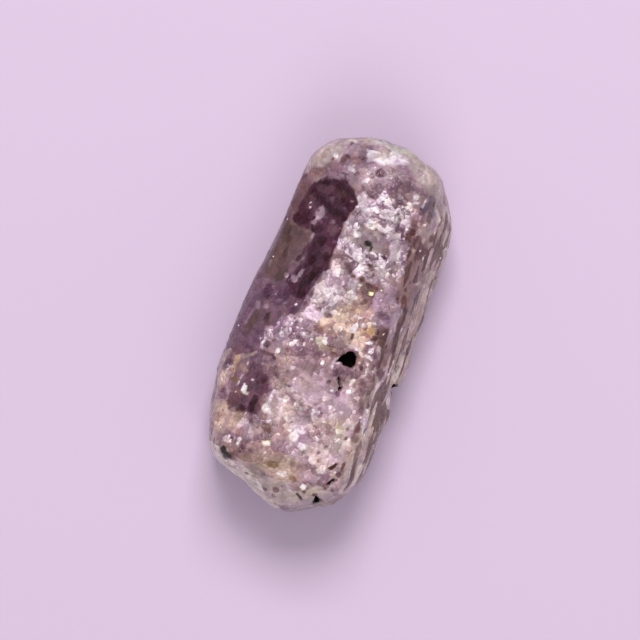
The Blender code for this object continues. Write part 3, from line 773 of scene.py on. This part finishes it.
    ("maroon", 0.8, 5.65, 9.9, 0.30, 0.40, 0),
    ("tan", 0.6, 4.6, 10.5, 0.20, 0.32, 0),
    ("tan", 0.5, 5.1, 9.6, 0.20, 0.28, 0),
    ("tan", 0.5, 4.5, 8.4, 0.20, 0.20, 0),
    ("lavender", 0.5, 5.6, 10.9, 0.50, 0.40, 0),
    # Partly painted light: the side grey along the right rim is paler than its own colour, to offset the weaker
    # lamplight on the outward slope
    ("side grey", 0.4, 6.9, 9.3, 0.45, 1.60, 0),
    ("violet", 0.5, 6.85, 7.7, 0.12, 0.34, 15),
    ("maroon", 0.5, 4.5, 7.2, 0.20, 0.30, 0),
    ("maroon", 0.5, 4.6, 6.3, 0.20, 0.42, 0),
    ("side grey", 0.6, 6.5, 5.8, 0.18, 0.24, 15),
    ("side grey", 0.5, 7.1, 5.5, 0.25, 0.50, 0),
    ("maroon", 0.9, 4.8, 3.85, 0.14, 0.32, 10),
    ("maroon", 1.0, 5.25, 4.1, 0.22, 0.40, 10),
    ("maroon", 0.7, 5.4, 3.5, 0.30, 0.25, 0),
    ("maroon", 0.9, 5.75, 2.6, 0.20, 0.45, 0),
    ("maroon", 0.8, 5.68, 1.5, 0.09, 0.70, 0),
    ("side grey", 0.5, 5.5, 2.3, 0.08, 0.22, 0),
    ("lavender", 0.9, 5.25, 1.1, 0.24, 0.95, 0),
    ("umber", 0.6, 4.1, 0.6, 0.28, 0.40, 0),
    ("umber", 0.9, 3.95, 0.1, 0.20, 0.28, 30),
    ("maroon", 0.5, 4.6, 0.4, 0.30, 0.40, 0),
    ("maroon", 0.6, 5.4, -0.6, 0.14, 0.30, 0),
    ("maroon", 0.5, 5.7, -0.1, 0.10, 0.60, 8),
    ("dusky plum", 0.9, 5.5, -2.4, 0.44, 0.50, 0),
    ("maroon", 0.5, 5.55, -1.6, 0.28, 0.28, 0),
    ("side grey", 0.8, 6.9, -1.8, 0.32, 1.10, 0),
    ("side grey", 0.8, 5.9, -3.3, 0.12, 0.42, -35),
    ("side grey", 0.8, 5.65, -4.2, 0.15, 0.75, -3),
    ("dusky plum", 0.8, 6.15, -3.5, 0.12, 0.42, 25),
    ("dusky plum", 0.7, 5.3, -3.8, 0.22, 0.24, 0),
    ("side grey", 1.0, 6.9, -4.45, 0.25, 0.40, 15),
    ("violet", 0.5, 5.6, -5.1, 0.25, 0.22, 0),
    ("violet", 0.4, 6.8, -5.2, 0.12, 0.30, 0),
    ("umber", 0.5, 6.8, -0.25, 0.16, 0.13, 0),
    ("dusky plum", 0.7, 4.95, -5.8, 0.18, 0.70, 18),
    ("maroon", 0.9, 5.3, -7.6, 0.24, 0.65, 0),
    ("maroon", 0.6, 5.45, -8.6, 0.32, 0.35, 0),
    ("side grey", 0.7, 5.8, -7.1, 0.12, 1.00, 0),
    ("blue grey", 0.8, 6.05, -7.6, 0.09, 0.32, -8),
    ("maroon", 0.8, 6.85, -6.9, 0.16, 0.60, 8),
    ("maroon", 0.4, 6.7, -8.1, 0.25, 0.50, 0),
    ("maroon", 0.5, 6.75, -8.9, 0.12, 0.34, 0),
    ("maroon", 0.5, 5.85, -9.4, 0.16, 0.32, 0),
    ("tan", 0.4, 6.3, -9.4, 0.30, 0.32, 0),
    ("blue grey", 0.4, 6.6, -10.3, 0.22, 0.42, 0),
    ("side grey", 0.5, 6.9, -11.6, 0.40, 1.20, 0),
    ("side grey", 0.5, 6.2, -12.8, 0.40, 0.80, -25),
)

# Glints: painted highlights, the light off small mirror-bright cleavage faces
GLINTS = (
    ("green glint", 0.20, (2.4, 3.62)),
    ("glint", 0.12, (1.25, 4.03)),
    ("glint", 0.10, (3.4, 3.4)),
    ("green glint", 0.12, (0.45, 1.45)),
    ("glint", 0.12, (0.35, 1.0)),
    ("glint", 0.12, (0.1, -0.45)),
    ("glint", 0.10, (-0.1, -1.1)),
    ("glint", 0.10, (0.4, -2.7)),
    ("glint", 0.16, (0.5, -3.45)),
    ("glint", 0.22, (-3.45, -3.75)),
    ("glint", 0.14, (-3.7, -2.15)),
    ("glint", 0.13, (-2.65, -2.8)),
    ("glint", 0.13, (-1.05, -1.8)),
    ("glint", 0.14, (-4.95, -3.5)),
    ("glint", 0.08, (-3.5, 0.6)),
    ("glint", 0.14, (2.1, -5.35)),
    ("glint", 0.10, (-1.3, -5.5)),
    ("glint", 0.10, (1.75, -6.4)),
    ("glint", 0.13, (2.45, -6.75)),
    ("glint", 0.10, (2.85, -6.85)),
    ("glint", 0.10, (3.55, -6.85)),
    ("glint", 0.09, (5.25, -6.7)),
    ("glint", 0.12, (-4.35, -14.2)),
    ("glint", 0.10, (-4.65, -12.45)),
    ("glint", 0.10, (5.6, 8.0)),
    ("glint", 0.07, (5.15, 8.55)),
    ("glint", 0.08, (5.5, 10.2)),
    ("green glint", 0.10, (4.7, 10.75)),
    ("glint", 0.10, (7.15, 9.45)),
    ("glint", 0.08, (7.0, 8.6)),
    ("glint", 0.08, (4.4, 4.8)),
    ("glint", 0.09, (-0.3, 11.95)),
    ("glint", 0.12, (0.45, 10.45)),
    ("glint", 0.10, (1.2, 10.7)),
    ("glint", 0.10, (2.25, 10.35)),
    ("glint", 0.14, (0.6, 8.95)),
    ("glint", 0.10, (1.75, 9.15)),
    ("glint", 0.10, (2.55, 6.1)),
    ("glint", 0.10, (0.45, 6.2)),
    ("glint", 0.08, (5.15, 1.1)),
    ("glint", 0.07, (4.6, 0.8)),
    ("glint", 0.07, (6.2, -2.35)),
)

# Pits: depth in millimetres, then the outline point by point
PITS = (
    (0.95, (1.55, -3.0), (1.75, -2.7), (1.8, -2.45), (2.1, -2.2), (2.3, -1.75), (2.6, -1.7), (2.95, -1.95),
     (3.1, -2.3), (3.1, -2.9), (2.7, -2.85), (2.4, -2.9), (2.1, -2.7), (1.8, -2.85)),
    (0.50, (2.2, -4.15), (2.3, -4.0), (2.5, -4.2), (2.65, -4.5), (2.9, -4.75), (2.8, -5.15), (2.55, -5.05),
     (2.6, -4.8), (2.4, -4.5)),
    (0.50, (4.5, -13.2), (4.65, -12.8), (4.9, -12.5), (5.15, -12.45), (4.95, -12.8), (4.8, -13.15)),
    (0.60, (3.95, -14.4), (4.3, -14.55), (4.75, -14.65), (4.55, -14.9), (4.1, -15.25), (3.9, -15.1)),
    (0.40, (6.9, -3.05), (7.3, -3.0), (7.4, -3.5), (7.3, -3.85), (6.95, -3.75)),
    (0.20, (2.3, -14.75), (2.6, -14.85), (2.95, -15.1), (2.85, -15.25), (2.5, -15.0)),
    (0.15, (-0.42, -9.25), (-0.15, -9.02), (-0.1, -9.15), (-0.3, -9.32)),
)


def linear(colour):
    """The light of a screen colour, 0 to 255, as the shaders take it."""
    share = np.array(colour, float) / 255
    return np.where(share <= 0.04045, share / 12.92, ((share + 0.055) / 1.055) ** 2.4)


def seen_from_above(where):
    """Where points appear, in millimetres on the level of the stone's middle, to an eye above it."""
    height = where[:, 2] / MM
    spread = (EYE_HEIGHT - LEVEL) / (EYE_HEIGHT - height)
    return where[:, :2] / MM * spread[:, None] + np.array(SHIFT)


def ease(value):
    value = np.clip(value, 0.0, 1.0)
    return value * value * (3 - 2 * value)


def inside_outline(at, outline):
    """How far each place is inside an outline, in millimetres; negative outside it."""
    corners = np.array(outline, float)
    nearest = np.full(len(at), np.inf)
    inside = np.zeros(len(at), bool)
    for start, end in zip(corners, np.roll(corners, -1, axis=0)):
        edge = end - start
        along = np.clip(((at - start) @ edge) / (edge @ edge), 0.0, 1.0)
        nearest = np.minimum(nearest, np.linalg.norm(at - start - along[:, None] * edge, axis=1))
        rise = end[1] - start[1] or 1e-9
        crosses = (start[1] > at[:, 1]) != (end[1] > at[:, 1])
        inside ^= crosses & (at[:, 0] < start[0] + (at[:, 1] - start[1]) / rise * edge[0])
    return np.where(inside, nearest, -nearest)


def inside_spot(at, middle, half_width, half_length, turn):
    """How far each place is inside a turned oval, in millimetres; negative outside it."""
    angle = math.radians(turn)
    across, along = (at - np.array(middle)).T
    turned_across = across * math.cos(angle) + along * math.sin(angle)
    turned_along = along * math.cos(angle) - across * math.sin(angle)
    reach = np.hypot(turned_across / half_width, turned_along / half_length)
    return (1 - reach) * min(half_width, half_length)


def noise_at(where, size, turn=0.0):
    """A soft noise, one number for each place, from about -1 to 1."""
    scaled = where / size + turn
    return np.array([noise.noise(Vector(place)) for place in scaled])


ragged = np.stack([noise_at(places, 0.9 * MM, 5.0), noise_at(places, 0.9 * MM, 25.0)], axis=1) * 0.22
fine_ragged = np.stack([noise_at(places, 0.3 * MM, 9.0), noise_at(places, 0.3 * MM, 39.0)], axis=1) * 0.07
by_grain = seen_from_above(0.45 * places + 0.55 * middles) + ragged + fine_ragged
by_place = seen_from_above(places)
nearly_by_place = seen_from_above(0.85 * places + 0.15 * middles) + 0.35 * ragged + fine_ragged
from_above = ease((facing[:, 2] + 0.12) / 0.3)
cloud = noise_at(places, 3.2 * MM) * 0.6 + noise_at(places, 1.4 * MM, 3.0) * 0.4

colour = np.tile(linear(TONES["mauve"][0]), (len(places), 1))
traits = np.tile(np.array(TONES["mauve"][1:]), (len(places), 1))


def paint(tone, cover):
    """Lays a tone over what is there, as far as the cover says, 0 to 1 at each place."""
    shade, *trait = TONES[tone]
    colour[:] += (linear(shade) - colour) * cover[:, None]
    traits[:] += (np.array(trait) - traits) * cover[:, None]


# What the photograph doesn't show: the same tones in clouds, greyer and more splintery on the sides,
# where the paler grey of steep faces is partly painted light, for the glow of thin edges and the
# weaker lamplight there
paint("violet", ease(-cloud * 2.2 - 0.25) * 0.8)
paint("lilac", ease(cloud * 2.2 - 0.35) * 0.8)
steep = ease((0.75 - np.abs(facing[:, 2])) / 0.3)
# Painted light in part: steep faces turn a paler grey
paint("side", steep * 0.8 * ease(0.8 - cloud))
paint("smoke", ease(noise_at(places, 4.5 * MM, 7.0) * 3 - 0.6) * 0.7 * (1 - from_above))
paint("plum", ease(noise_at(places, 2.6 * MM, 12.0) * 4 - 1.4) * 0.8 * (1 - from_above))

SHARP_EDGE = 0.25
SMALL_SPOT = 0.42
SPOT_SOFTNESS = 0.35
for tone, strength, softness, *outline in AREAS:
    at = nearly_by_place if softness < SHARP_EDGE else by_grain
    cover = ease(inside_outline(at, outline) / softness + 0.5)
    paint(tone, cover * strength * from_above)
for tone, strength, across, along, half_width, half_length, turn in SPOTS:
    narrowest = min(half_width, half_length)
    at = nearly_by_place if narrowest < SMALL_SPOT else by_grain
    depth_in = inside_spot(at, (across, along), half_width, half_length, turn)
    paint(tone, ease(depth_in / (SPOT_SOFTNESS * narrowest) + 0.5) * strength * from_above)
# The glints are painted highlights, laid into the colour
for tone, radius, middle in GLINTS:
    depth_in = inside_spot(by_place + fine_ragged, middle, radius, radius, 0)
    paint(tone, ease(depth_in / (0.4 * radius) + 0.3) * from_above)

pit_depth = np.zeros(len(places))
blackness = np.zeros(len(places))
for deepest, *outline in PITS:
    depth_in = inside_outline(by_place + fine_ragged * 0.8, outline)
    open_to_view = ease((facing[:, 2] + 0.5) / 0.3)
    pit_depth = np.maximum(pit_depth, deepest * ease(depth_in / 0.22 + 0.35) * open_to_view)
    blackness = np.maximum(blackness, ease(depth_in / 0.10 + 0.5) * open_to_view)
paint("black", blackness)

# The worked surface
# The grains stand out by up to a tenth of a millimetre where the stone is sugary and hardly at all
# in the dark window, which is a sunken, glassy break with a sharp upper lip. The pits go in last.
GRAIN_RELIEF = 0.085 * MM
SMALL_GRAIN_RELIEF = 0.035 * MM
SPLINTER_RELIEF = 0.028 * MM
WINDOW_DROP = 0.22 * MM
WINDOW_LIP = (
    (-6.3, 10.8), (-5.6, 11.1), (-4.9, 11.5), (-4.1, 11.85), (-3.2, 12.3), (-2.0, 11.4), (-1.3, 10.6),
    (-1.8, 8.6), (-1.9, 5.0), (-2.6, 2.0), (-3.2, -0.2), (-5.4, 0.6), (-6.8, 4.0), (-6.9, 7.0),
)

frosting, relief, splinters = traits.T
lifted = read_attribute(mesh, "grain_height") * GRAIN_RELIEF * (1 - splinters)
lifted += read_attribute(mesh, "small_grain_height") * SMALL_GRAIN_RELIEF * (1 - splinters)
lifted += read_attribute(mesh, "splinter_height") * SPLINTER_RELIEF * splinters * 2
lifted *= relief * ease(places[:, 2] / (0.5 * MM))
sunken = ease(inside_outline(by_place + ragged * 0.3, WINDOW_LIP) / 0.22)
lifted -= WINDOW_DROP * sunken * ease((by_place[:, 0] + 6.6) / 2.2) * from_above
lifted -= pit_depth * MM
moved = places + facing * lifted[:, None]
low, high = (np.array(corner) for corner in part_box("crystal"))
move_points(mesh, np.clip(moved, low, high))


def write_attribute(name, kind, values):
    layer = mesh.attributes.new(name, kind, "POINT")
    layer.data.foreach_set("color" if kind == "FLOAT_COLOR" else "value", values.astype(np.float32).ravel())


for name in ("grain_middle", "grain_height", "small_grain_height", "splinter_height"):
    mesh.attributes.remove(mesh.attributes[name])
write_attribute("ground", "FLOAT_COLOR", np.column_stack([colour, np.ones(len(colour))]))
write_attribute("frosting", "FLOAT", frosting)
write_attribute("graininess", "FLOAT", relief)
write_attribute("splinters", "FLOAT", splinters)
mesh.shade_smooth()

# The finish of the stone
# Clear, glassy grains over a coloured ground: some are frosted white and some look down into the
# darker stone. Their edges are faint dark lines, and small bubbles and flecks lie between them.


BLOTCH_SIZE = 1.20 * MM
SPOT_SPACING = 1.05 * MM
FLECK_SPACING = 0.80 * MM


def mix_colours(tree, share, first, second, blend="MIX"):
    made = tree.nodes.new("ShaderNodeMix")
    made.data_type = "RGBA"
    made.blend_type = blend
    made.clamp_factor = True
    for slot, value in ((0, share), (6, first), (7, second)):
        if isinstance(value, bpy.types.NodeSocket):
            tree.links.new(value, made.inputs[slot])
        else:
            made.inputs[slot].default_value = value
    return made.outputs[2]


def ramp(tree, value, low, high, bottom=0.0, top=1.0):
    """A value spread from one range to another and held inside it."""
    made = add_node(tree, "ShaderNodeMapRange", value, low, high, bottom, top)
    made.interpolation_type = "SMOOTHSTEP"
    return result(made)


def screen_colour(red, green, blue):
    return (*linear((red, green, blue)), 1.0)


def split(tree, colour):
    """The three numbers that a random colour stands for."""
    parts = add_node(tree, "ShaderNodeSeparateXYZ", colour)
    return [result(parts, axis) for axis in ("X", "Y", "Z")]


def darker(tree, base, red, green, blue):
    """A colour seen through a tinted glass, given as that glass looks on white."""
    return mix_colours(tree, 1.0, base, screen_colour(red, green, blue), "MULTIPLY")


def weigh(tree, *shares):
    """Values added up, each by its share."""
    total = 0.0
    for value, share in shares:
        total = do_math(tree, "MULTIPLY_ADD", value, share, total)
    return total


def grain_group():
    """The grain effect: a tone of its own for each grain, a painted bright side, its edge lines and its fine bumps.
    """
    tree = bpy.data.node_groups.new("glassy grains", "ShaderNodeTree")
    for name, kind in (
        ("Place", "Vector"),
        ("Ground", "Color"),
        ("Frosting", "Float"),
        ("Graininess", "Float"),
        ("Splinters", "Float"),
    ):
        tree.interface.new_socket(name, in_out="INPUT", socket_type="NodeSocket" + kind)
    for name, kind in (("Colour", "Color"), ("Roughness", "Float"), ("Height", "Float")):
        tree.interface.new_socket(name, in_out="OUTPUT", socket_type="NodeSocket" + kind)
    start = tree.nodes.new("NodeGroupInput").outputs
    place = start["Place"]
    plates = grain_cells(tree, place, GRAIN_SIZE)
    small = grain_cells(tree, place, SMALL_GRAIN_SIZE)
    splinter = grain_cells(tree, place, SPLINTER_SIZE, SPLINTER_SHAPE)
    _first, plate_tone, plate_light = split(tree, plates["random"])
    small_gloss, small_tone, small_light = split(tree, small["random"])
    _first, long_tone, long_light = split(tree, splinter["random"])

    # Here the stone has parted into plates, there into small grains, on the sides into splinters
    patchy = result(add_node(tree, "ShaderNodeTexNoise", place, 1 / (1.3 * MM), 1.0))
    broken = ramp(tree, patchy, 0.42, 0.58, 0.25, 0.85)
    which = blend_values(tree, broken, plate_tone, small_tone)
    clumps = add_node(tree, "ShaderNodeTexNoise", small["middle"], 1 / (0.95 * MM), 2.0)
    clumps = ramp(tree, result(clumps), 0.30, 0.70)
    which = blend_values(tree, 0.28, which, clumps)
    which = blend_values(tree, start["Splinters"], which, weigh(tree, (long_tone, 0.75), (small_tone, 0.25)))

    # Bright grains turn frosty where there is frosting, dark ones show the stone's depth
    tone = ramp(tree, which, 0.22, 0.78, 0.66, 1.30)
    tone = blend_values(tree, do_math(tree, "MULTIPLY_ADD", start["Graininess"], 0.65, 0.35), 1.0, tone)
    base = mix_colours(tree, 1.0, start["Ground"], add_grey(tree, tone), "MULTIPLY")
    blotches = add_node(tree, "ShaderNodeTexVoronoi", small["middle"], 1 / BLOTCH_SIZE)
    blotch = split(tree, result(blotches, "Color"))[0]
    dull = do_math(tree, "MULTIPLY", ramp(tree, blotch, 0.36, 0.30), ramp(tree, start["Graininess"], 0.2, 0.7, 0.1, 0.65))
    base = mix_colours(tree, dull, base, darker(tree, base, 182, 150, 170))
    bright = do_math(tree, "MULTIPLY", ramp(tree, blotch, 0.74, 0.80), ramp(tree, start["Frosting"], 0.1, 0.5, 0.0, 0.18))
    base = mix_colours(tree, bright, base, screen_colour(236, 222, 228))
    needed = do_math(tree, "MULTIPLY_ADD", start["Frosting"], -0.75, 0.98)
    above = do_math(tree, "SUBTRACT", which, needed)
    frosty = do_math(tree, "MULTIPLY", ramp(tree, above, -0.02, 0.03), ramp(tree, small_light, 0.0, 1.0, 0.35, 0.95))
    to_edge = blend_values(tree, broken, plates["to_edge"], small["to_edge"])
    frosty = do_math(tree, "MULTIPLY", frosty, ramp(tree, to_edge, 0.0, 0.12, 0.55, 1.0))
    base = mix_colours(tree, frosty, base, screen_colour(242, 232, 240))
    dark_streak = do_math(tree, "MULTIPLY", ramp(tree, long_tone, 0.36, 0.30), start["Splinters"])
    base = mix_colours(tree, dark_streak, base, darker(tree, base, 176, 158, 156))

    # Painted light and shade: each grain's colour is brighter towards one side and darker towards the other, as if
    # lit through
    across = blend_values(
        tree, broken, side_of_grain(tree, plates, GRAIN_SIZE), side_of_grain(tree, small, SMALL_GRAIN_SIZE)
    )
    lit = do_math(tree, "MULTIPLY_ADD", do_math(tree, "MULTIPLY", across, start["Graininess"]), 0.34, 1.0)
    base = mix_colours(tree, 1.0, base, add_grey(tree, lit), "MULTIPLY")

    # Plum spots, rounder than the grains, and dark gaps between some of these
    spots = add_node(tree, "ShaderNodeTexVoronoi", bent_place(tree, place, SPOT_SPACING / 2), 1 / SPOT_SPACING)
    chosen, spot_size, _last = split(tree, result(spots, "Color"))
    edge = do_math(tree, "MULTIPLY_ADD", spot_size, 0.18, 0.10)
    inside = do_math(tree, "SUBTRACT", edge, result(spots, "Distance"))
    spotted = do_math(tree, "MULTIPLY", ramp(tree, inside, -0.02, 0.05), ramp(tree, chosen, 0.55, 0.57, 0.0, 0.85))
    spotted = do_math(tree, "MULTIPLY", spotted, do_math(tree, "MULTIPLY_ADD", start["Frosting"], -0.7, 1.0))
    base = mix_colours(tree, spotted, base, darker(tree, base, 158, 116, 136))
    gap = result(add_node(tree, "ShaderNodeTexNoise", place, 1 / (0.9 * MM), 2.0))
    width = ramp(tree, gap, 0.50, 0.68, -0.03, 0.12)
    plate_line = ramp(tree, do_math(tree, "SUBTRACT", plates["to_edge"], width), 0.02, -0.04)
    small_line = ramp(tree, do_math(tree, "SUBTRACT", small["to_edge"], width), 0.02, -0.04)
    line = blend_values(tree, broken, plate_line, small_line)
    line = do_math(tree, "MULTIPLY", line, start["Graininess"])
    line = do_math(tree, "MULTIPLY", line, do_math(tree, "MULTIPLY_ADD", start["Splinters"], -0.6, 0.6))
    base = mix_colours(tree, line, base, darker(tree, base, 150, 112, 130))

    # Clouds inside the stone, and small white flecks
    cloud_noise = add_node(tree, "ShaderNodeTexNoise", place, 1 / (1.7 * MM), 2.0, 0.5)
    cloudy = ramp(tree, result(cloud_noise), 0.36, 0.66, 0.84, 1.14)
    base = mix_colours(tree, 1.0, base, add_grey(tree, cloudy), "MULTIPLY")
    warmth = result(add_node(tree, "ShaderNodeTexNoise", place, 1 / (1.5 * MM), 2.0, 0.5))
    base = mix_colours(tree, ramp(tree, warmth, 0.50, 0.66, 0.0, 0.6), base, darker(tree, base, 255, 246, 230))
    base = mix_colours(tree, ramp(tree, warmth, 0.50, 0.34, 0.0, 0.6), base, darker(tree, base, 240, 222, 244))
    fleck = add_node(tree, "ShaderNodeTexVoronoi", place, 1 / FLECK_SPACING, feature="F1")
    near = ramp(tree, result(fleck, "Distance"), 0.06, 0.11, 1.0, 0.0)
    picked = ramp(tree, split(tree, result(fleck, "Color"))[0], 0.90, 0.92)
    base = mix_colours(tree, do_math(tree, "MULTIPLY", near, picked), base, screen_colour(250, 246, 246))

    # Gloss, and the bumps in millimetres: the tilt of each small grain's face and its rounded edge
    gloss = do_math(tree, "MULTIPLY_ADD", small_gloss, 0.26, 0.16)
    tilt = result(
        add_node(
            tree,
            "ShaderNodeVectorMath",
            do_vector(tree, "SUBTRACT", small["random"], (0.5, 0.5, 0.5)),
            do_vector(tree, "DIVIDE", small["from_middle"], (MM, MM, MM)),
            operation="DOT_PRODUCT",
        ),
        "Value",
    )
    rounded = ramp(tree, small["to_edge"], 0.0, 0.30, 0.0, 0.035)
    bumps = do_math(tree, "MULTIPLY_ADD", tilt, 0.55, rounded)
    spread = do_math(tree, "MULTIPLY_ADD", start["Graininess"], 0.9, 0.1)
    bumps = do_math(tree, "MULTIPLY", bumps, spread)

    finish = tree.nodes.new("NodeGroupOutput")
    tree.links.new(base, finish.inputs["Colour"])
    tree.links.new(gloss, finish.inputs["Roughness"])
    tree.links.new(bumps, finish.inputs["Height"])
    return tree


def blend_values(tree, share, first, second):
    """A value between two others: the first at a share of 0 and the second at 1."""
    unlike = do_math(tree, "SUBTRACT", second, first)
    return do_math(tree, "MULTIPLY_ADD", unlike, share, first)


def side_of_grain(tree, cell, size):
    """How far a place is towards the painted bright side of its grain, from about -1 to 1."""
    towards = do_vector(tree, "DIVIDE", cell["from_middle"], (size / 2,) * 3)
    bright_side = do_vector(tree, "SUBTRACT", cell["random"], (0.7, 0.2, 0.5))
    return result(
        add_node(tree, "ShaderNodeVectorMath", towards, bright_side, operation="DOT_PRODUCT"), "Value"
    )


def add_grey(tree, value):
    """A grey colour of a value's brightness."""
    return result(add_node(tree, "ShaderNodeCombineXYZ", value, value, value))


glassy_grains = grain_group()


def finish_stone(material):
    material.use_nodes = True
    tree = material.node_tree
    shader = tree.nodes["Principled BSDF"]
    place = result(tree.nodes.new("ShaderNodeTexCoord"), "Object")
    effect = tree.nodes.new("ShaderNodeGroup")
    effect.node_tree = glassy_grains
    tree.links.new(place, effect.inputs["Place"])
    for socket in ("Ground", "Frosting", "Graininess", "Splinters"):
        read = tree.nodes.new("ShaderNodeAttribute")
        read.attribute_name = socket.lower()
        tree.links.new(read.outputs["Color" if socket == "Ground" else "Fac"], effect.inputs[socket])
    tree.links.new(effect.outputs["Colour"], shader.inputs["Base Color"])
    tree.links.new(effect.outputs["Roughness"], shader.inputs["Roughness"])
    bump = tree.nodes.new("ShaderNodeBump")
    bump.inputs["Strength"].default_value = 1.0
    bump.inputs["Distance"].default_value = MM
    tree.links.new(effect.outputs["Height"], bump.inputs["Height"])
    tree.links.new(bump.outputs["Normal"], shader.inputs["Normal"])
    shader.inputs["IOR"].default_value = 1.55
    shader.inputs["Specular IOR Level"].default_value = 0.3
    shader.inputs["Subsurface Weight"].default_value = 0.10
    shader.inputs["Subsurface Scale"].default_value = 0.4 * MM
    shader.inputs["Subsurface Radius"].default_value = (1.0, 0.7, 0.8)
    shader.inputs["Coat Weight"].default_value = 0.10
    shader.inputs["Coat Roughness"].default_value = 0.25


def finish_pits(material):
    """The inside of the pits: near black and matt, so that hardly any light comes back."""
    material.use_nodes = True
    shader = material.node_tree.nodes["Principled BSDF"]
    shader.inputs["Base Color"].default_value = screen_colour(12, 5, 4)
    shader.inputs["Roughness"].default_value = 0.95
    shader.inputs["Specular IOR Level"].default_value = 0.05


finish_stone(stone_finish)
pit_finish = bpy.data.materials.new("black pits")
finish_pits(pit_finish)
mesh.materials.clear()
mesh.materials.append(stone_finish)
mesh.materials.append(pit_finish)
corner_of_face = np.empty(len(mesh.loops), np.int32)
mesh.loops.foreach_get("vertex_index", corner_of_face)
first_corner = np.empty(len(mesh.polygons), np.int32)
mesh.polygons.foreach_get("loop_start", first_corner)
in_pit = np.minimum.reduceat(blackness[corner_of_face], first_corner) > 0.6
mesh.polygons.foreach_set("material_index", in_pit.astype(np.int32))
mesh.update()
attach(stone, "root")
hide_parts("crystal")

# The floor and the light
# A plain pale lilac floor, a soft lamp above the far end of the stone, a weaker one above the near
# end, and an even pale surrounding.
FLOOR_WIDTH = 3.0
floor_mesh = bpy.data.meshes.new("floor")
spread = bmesh.new()
bmesh.ops.create_grid(spread, x_segments=1, y_segments=1, size=FLOOR_WIDTH / 2)
spread.to_mesh(floor_mesh)
spread.free()
floor = bpy.data.objects.new("floor", floor_mesh)
bpy.context.scene.collection.objects.link(floor)
floor_finish = bpy.data.materials.new("pale floor")
floor_finish.use_nodes = True
floor_shader = floor_finish.node_tree.nodes["Principled BSDF"]
floor_shader.inputs["Base Color"].default_value = screen_colour(208, 189, 217)
floor_shader.inputs["Roughness"].default_value = 0.8
floor_shader.inputs["Specular IOR Level"].default_value = 0.2
floor_mesh.materials.append(floor_finish)


def add_lamp(name, place, width, power, tint=(1.0, 1.0, 1.0)):
    """A square soft lamp at a place, turned to the stone."""
    lamp = bpy.data.lights.new(name, "AREA")
    lamp.size = width
    lamp.energy = power
    lamp.color = tint
    made = bpy.data.objects.new(name, lamp)
    made.location = place
    made.rotation_euler = (Vector((0, 0, 0.006)) - Vector(place)).to_track_quat("-Z", "Y").to_euler()
    bpy.context.scene.collection.objects.link(made)


add_lamp("far lamp", (-0.08, 0.26, 0.42), 0.20, 1.9, (1.0, 0.975, 0.94))
add_lamp("near lamp", (0.14, -0.26, 0.42), 0.34, 0.8, (1.0, 0.975, 0.95))
surround = bpy.data.worlds.new("pale surround")
surround.use_nodes = True
surround.node_tree.nodes["Background"].inputs["Color"].default_value = screen_colour(252, 248, 246)
surround.node_tree.nodes["Background"].inputs["Strength"].default_value = 0.37
bpy.context.scene.world = surround
bpy.context.scene.view_settings.view_transform = "Standard"

# The camera
# It looks straight down at the stone, turned so that the stone leans to the right as it does in the
# photograph, from so far away that the sides hardly show.
LEAN = math.radians(20.16)
PHOTO_WIDTH_MM = 640 * 0.0862
OFF_CENTRE_MM = (0.888, -0.302)
camera_data = bpy.data.cameras.new("camera")
camera_data.sensor_width = 36.0
camera_data.lens = 36.0 * (EYE_HEIGHT - LEVEL) / PHOTO_WIDTH_MM
camera_data.clip_start = 0.01
camera = bpy.data.objects.new("camera", camera_data)
right_of_middle, above_middle = OFF_CENTRE_MM
aim_x = -SHIFT[0] - right_of_middle * math.cos(LEAN) + above_middle * math.sin(LEAN)
aim_y = -SHIFT[1] - right_of_middle * math.sin(LEAN) - above_middle * math.cos(LEAN)
camera.location = (aim_x * MM, aim_y * MM, EYE_HEIGHT * MM)
camera.rotation_euler = (0.0, 0.0, LEAN)
bpy.context.scene.collection.objects.link(camera)
bpy.context.scene.camera = camera
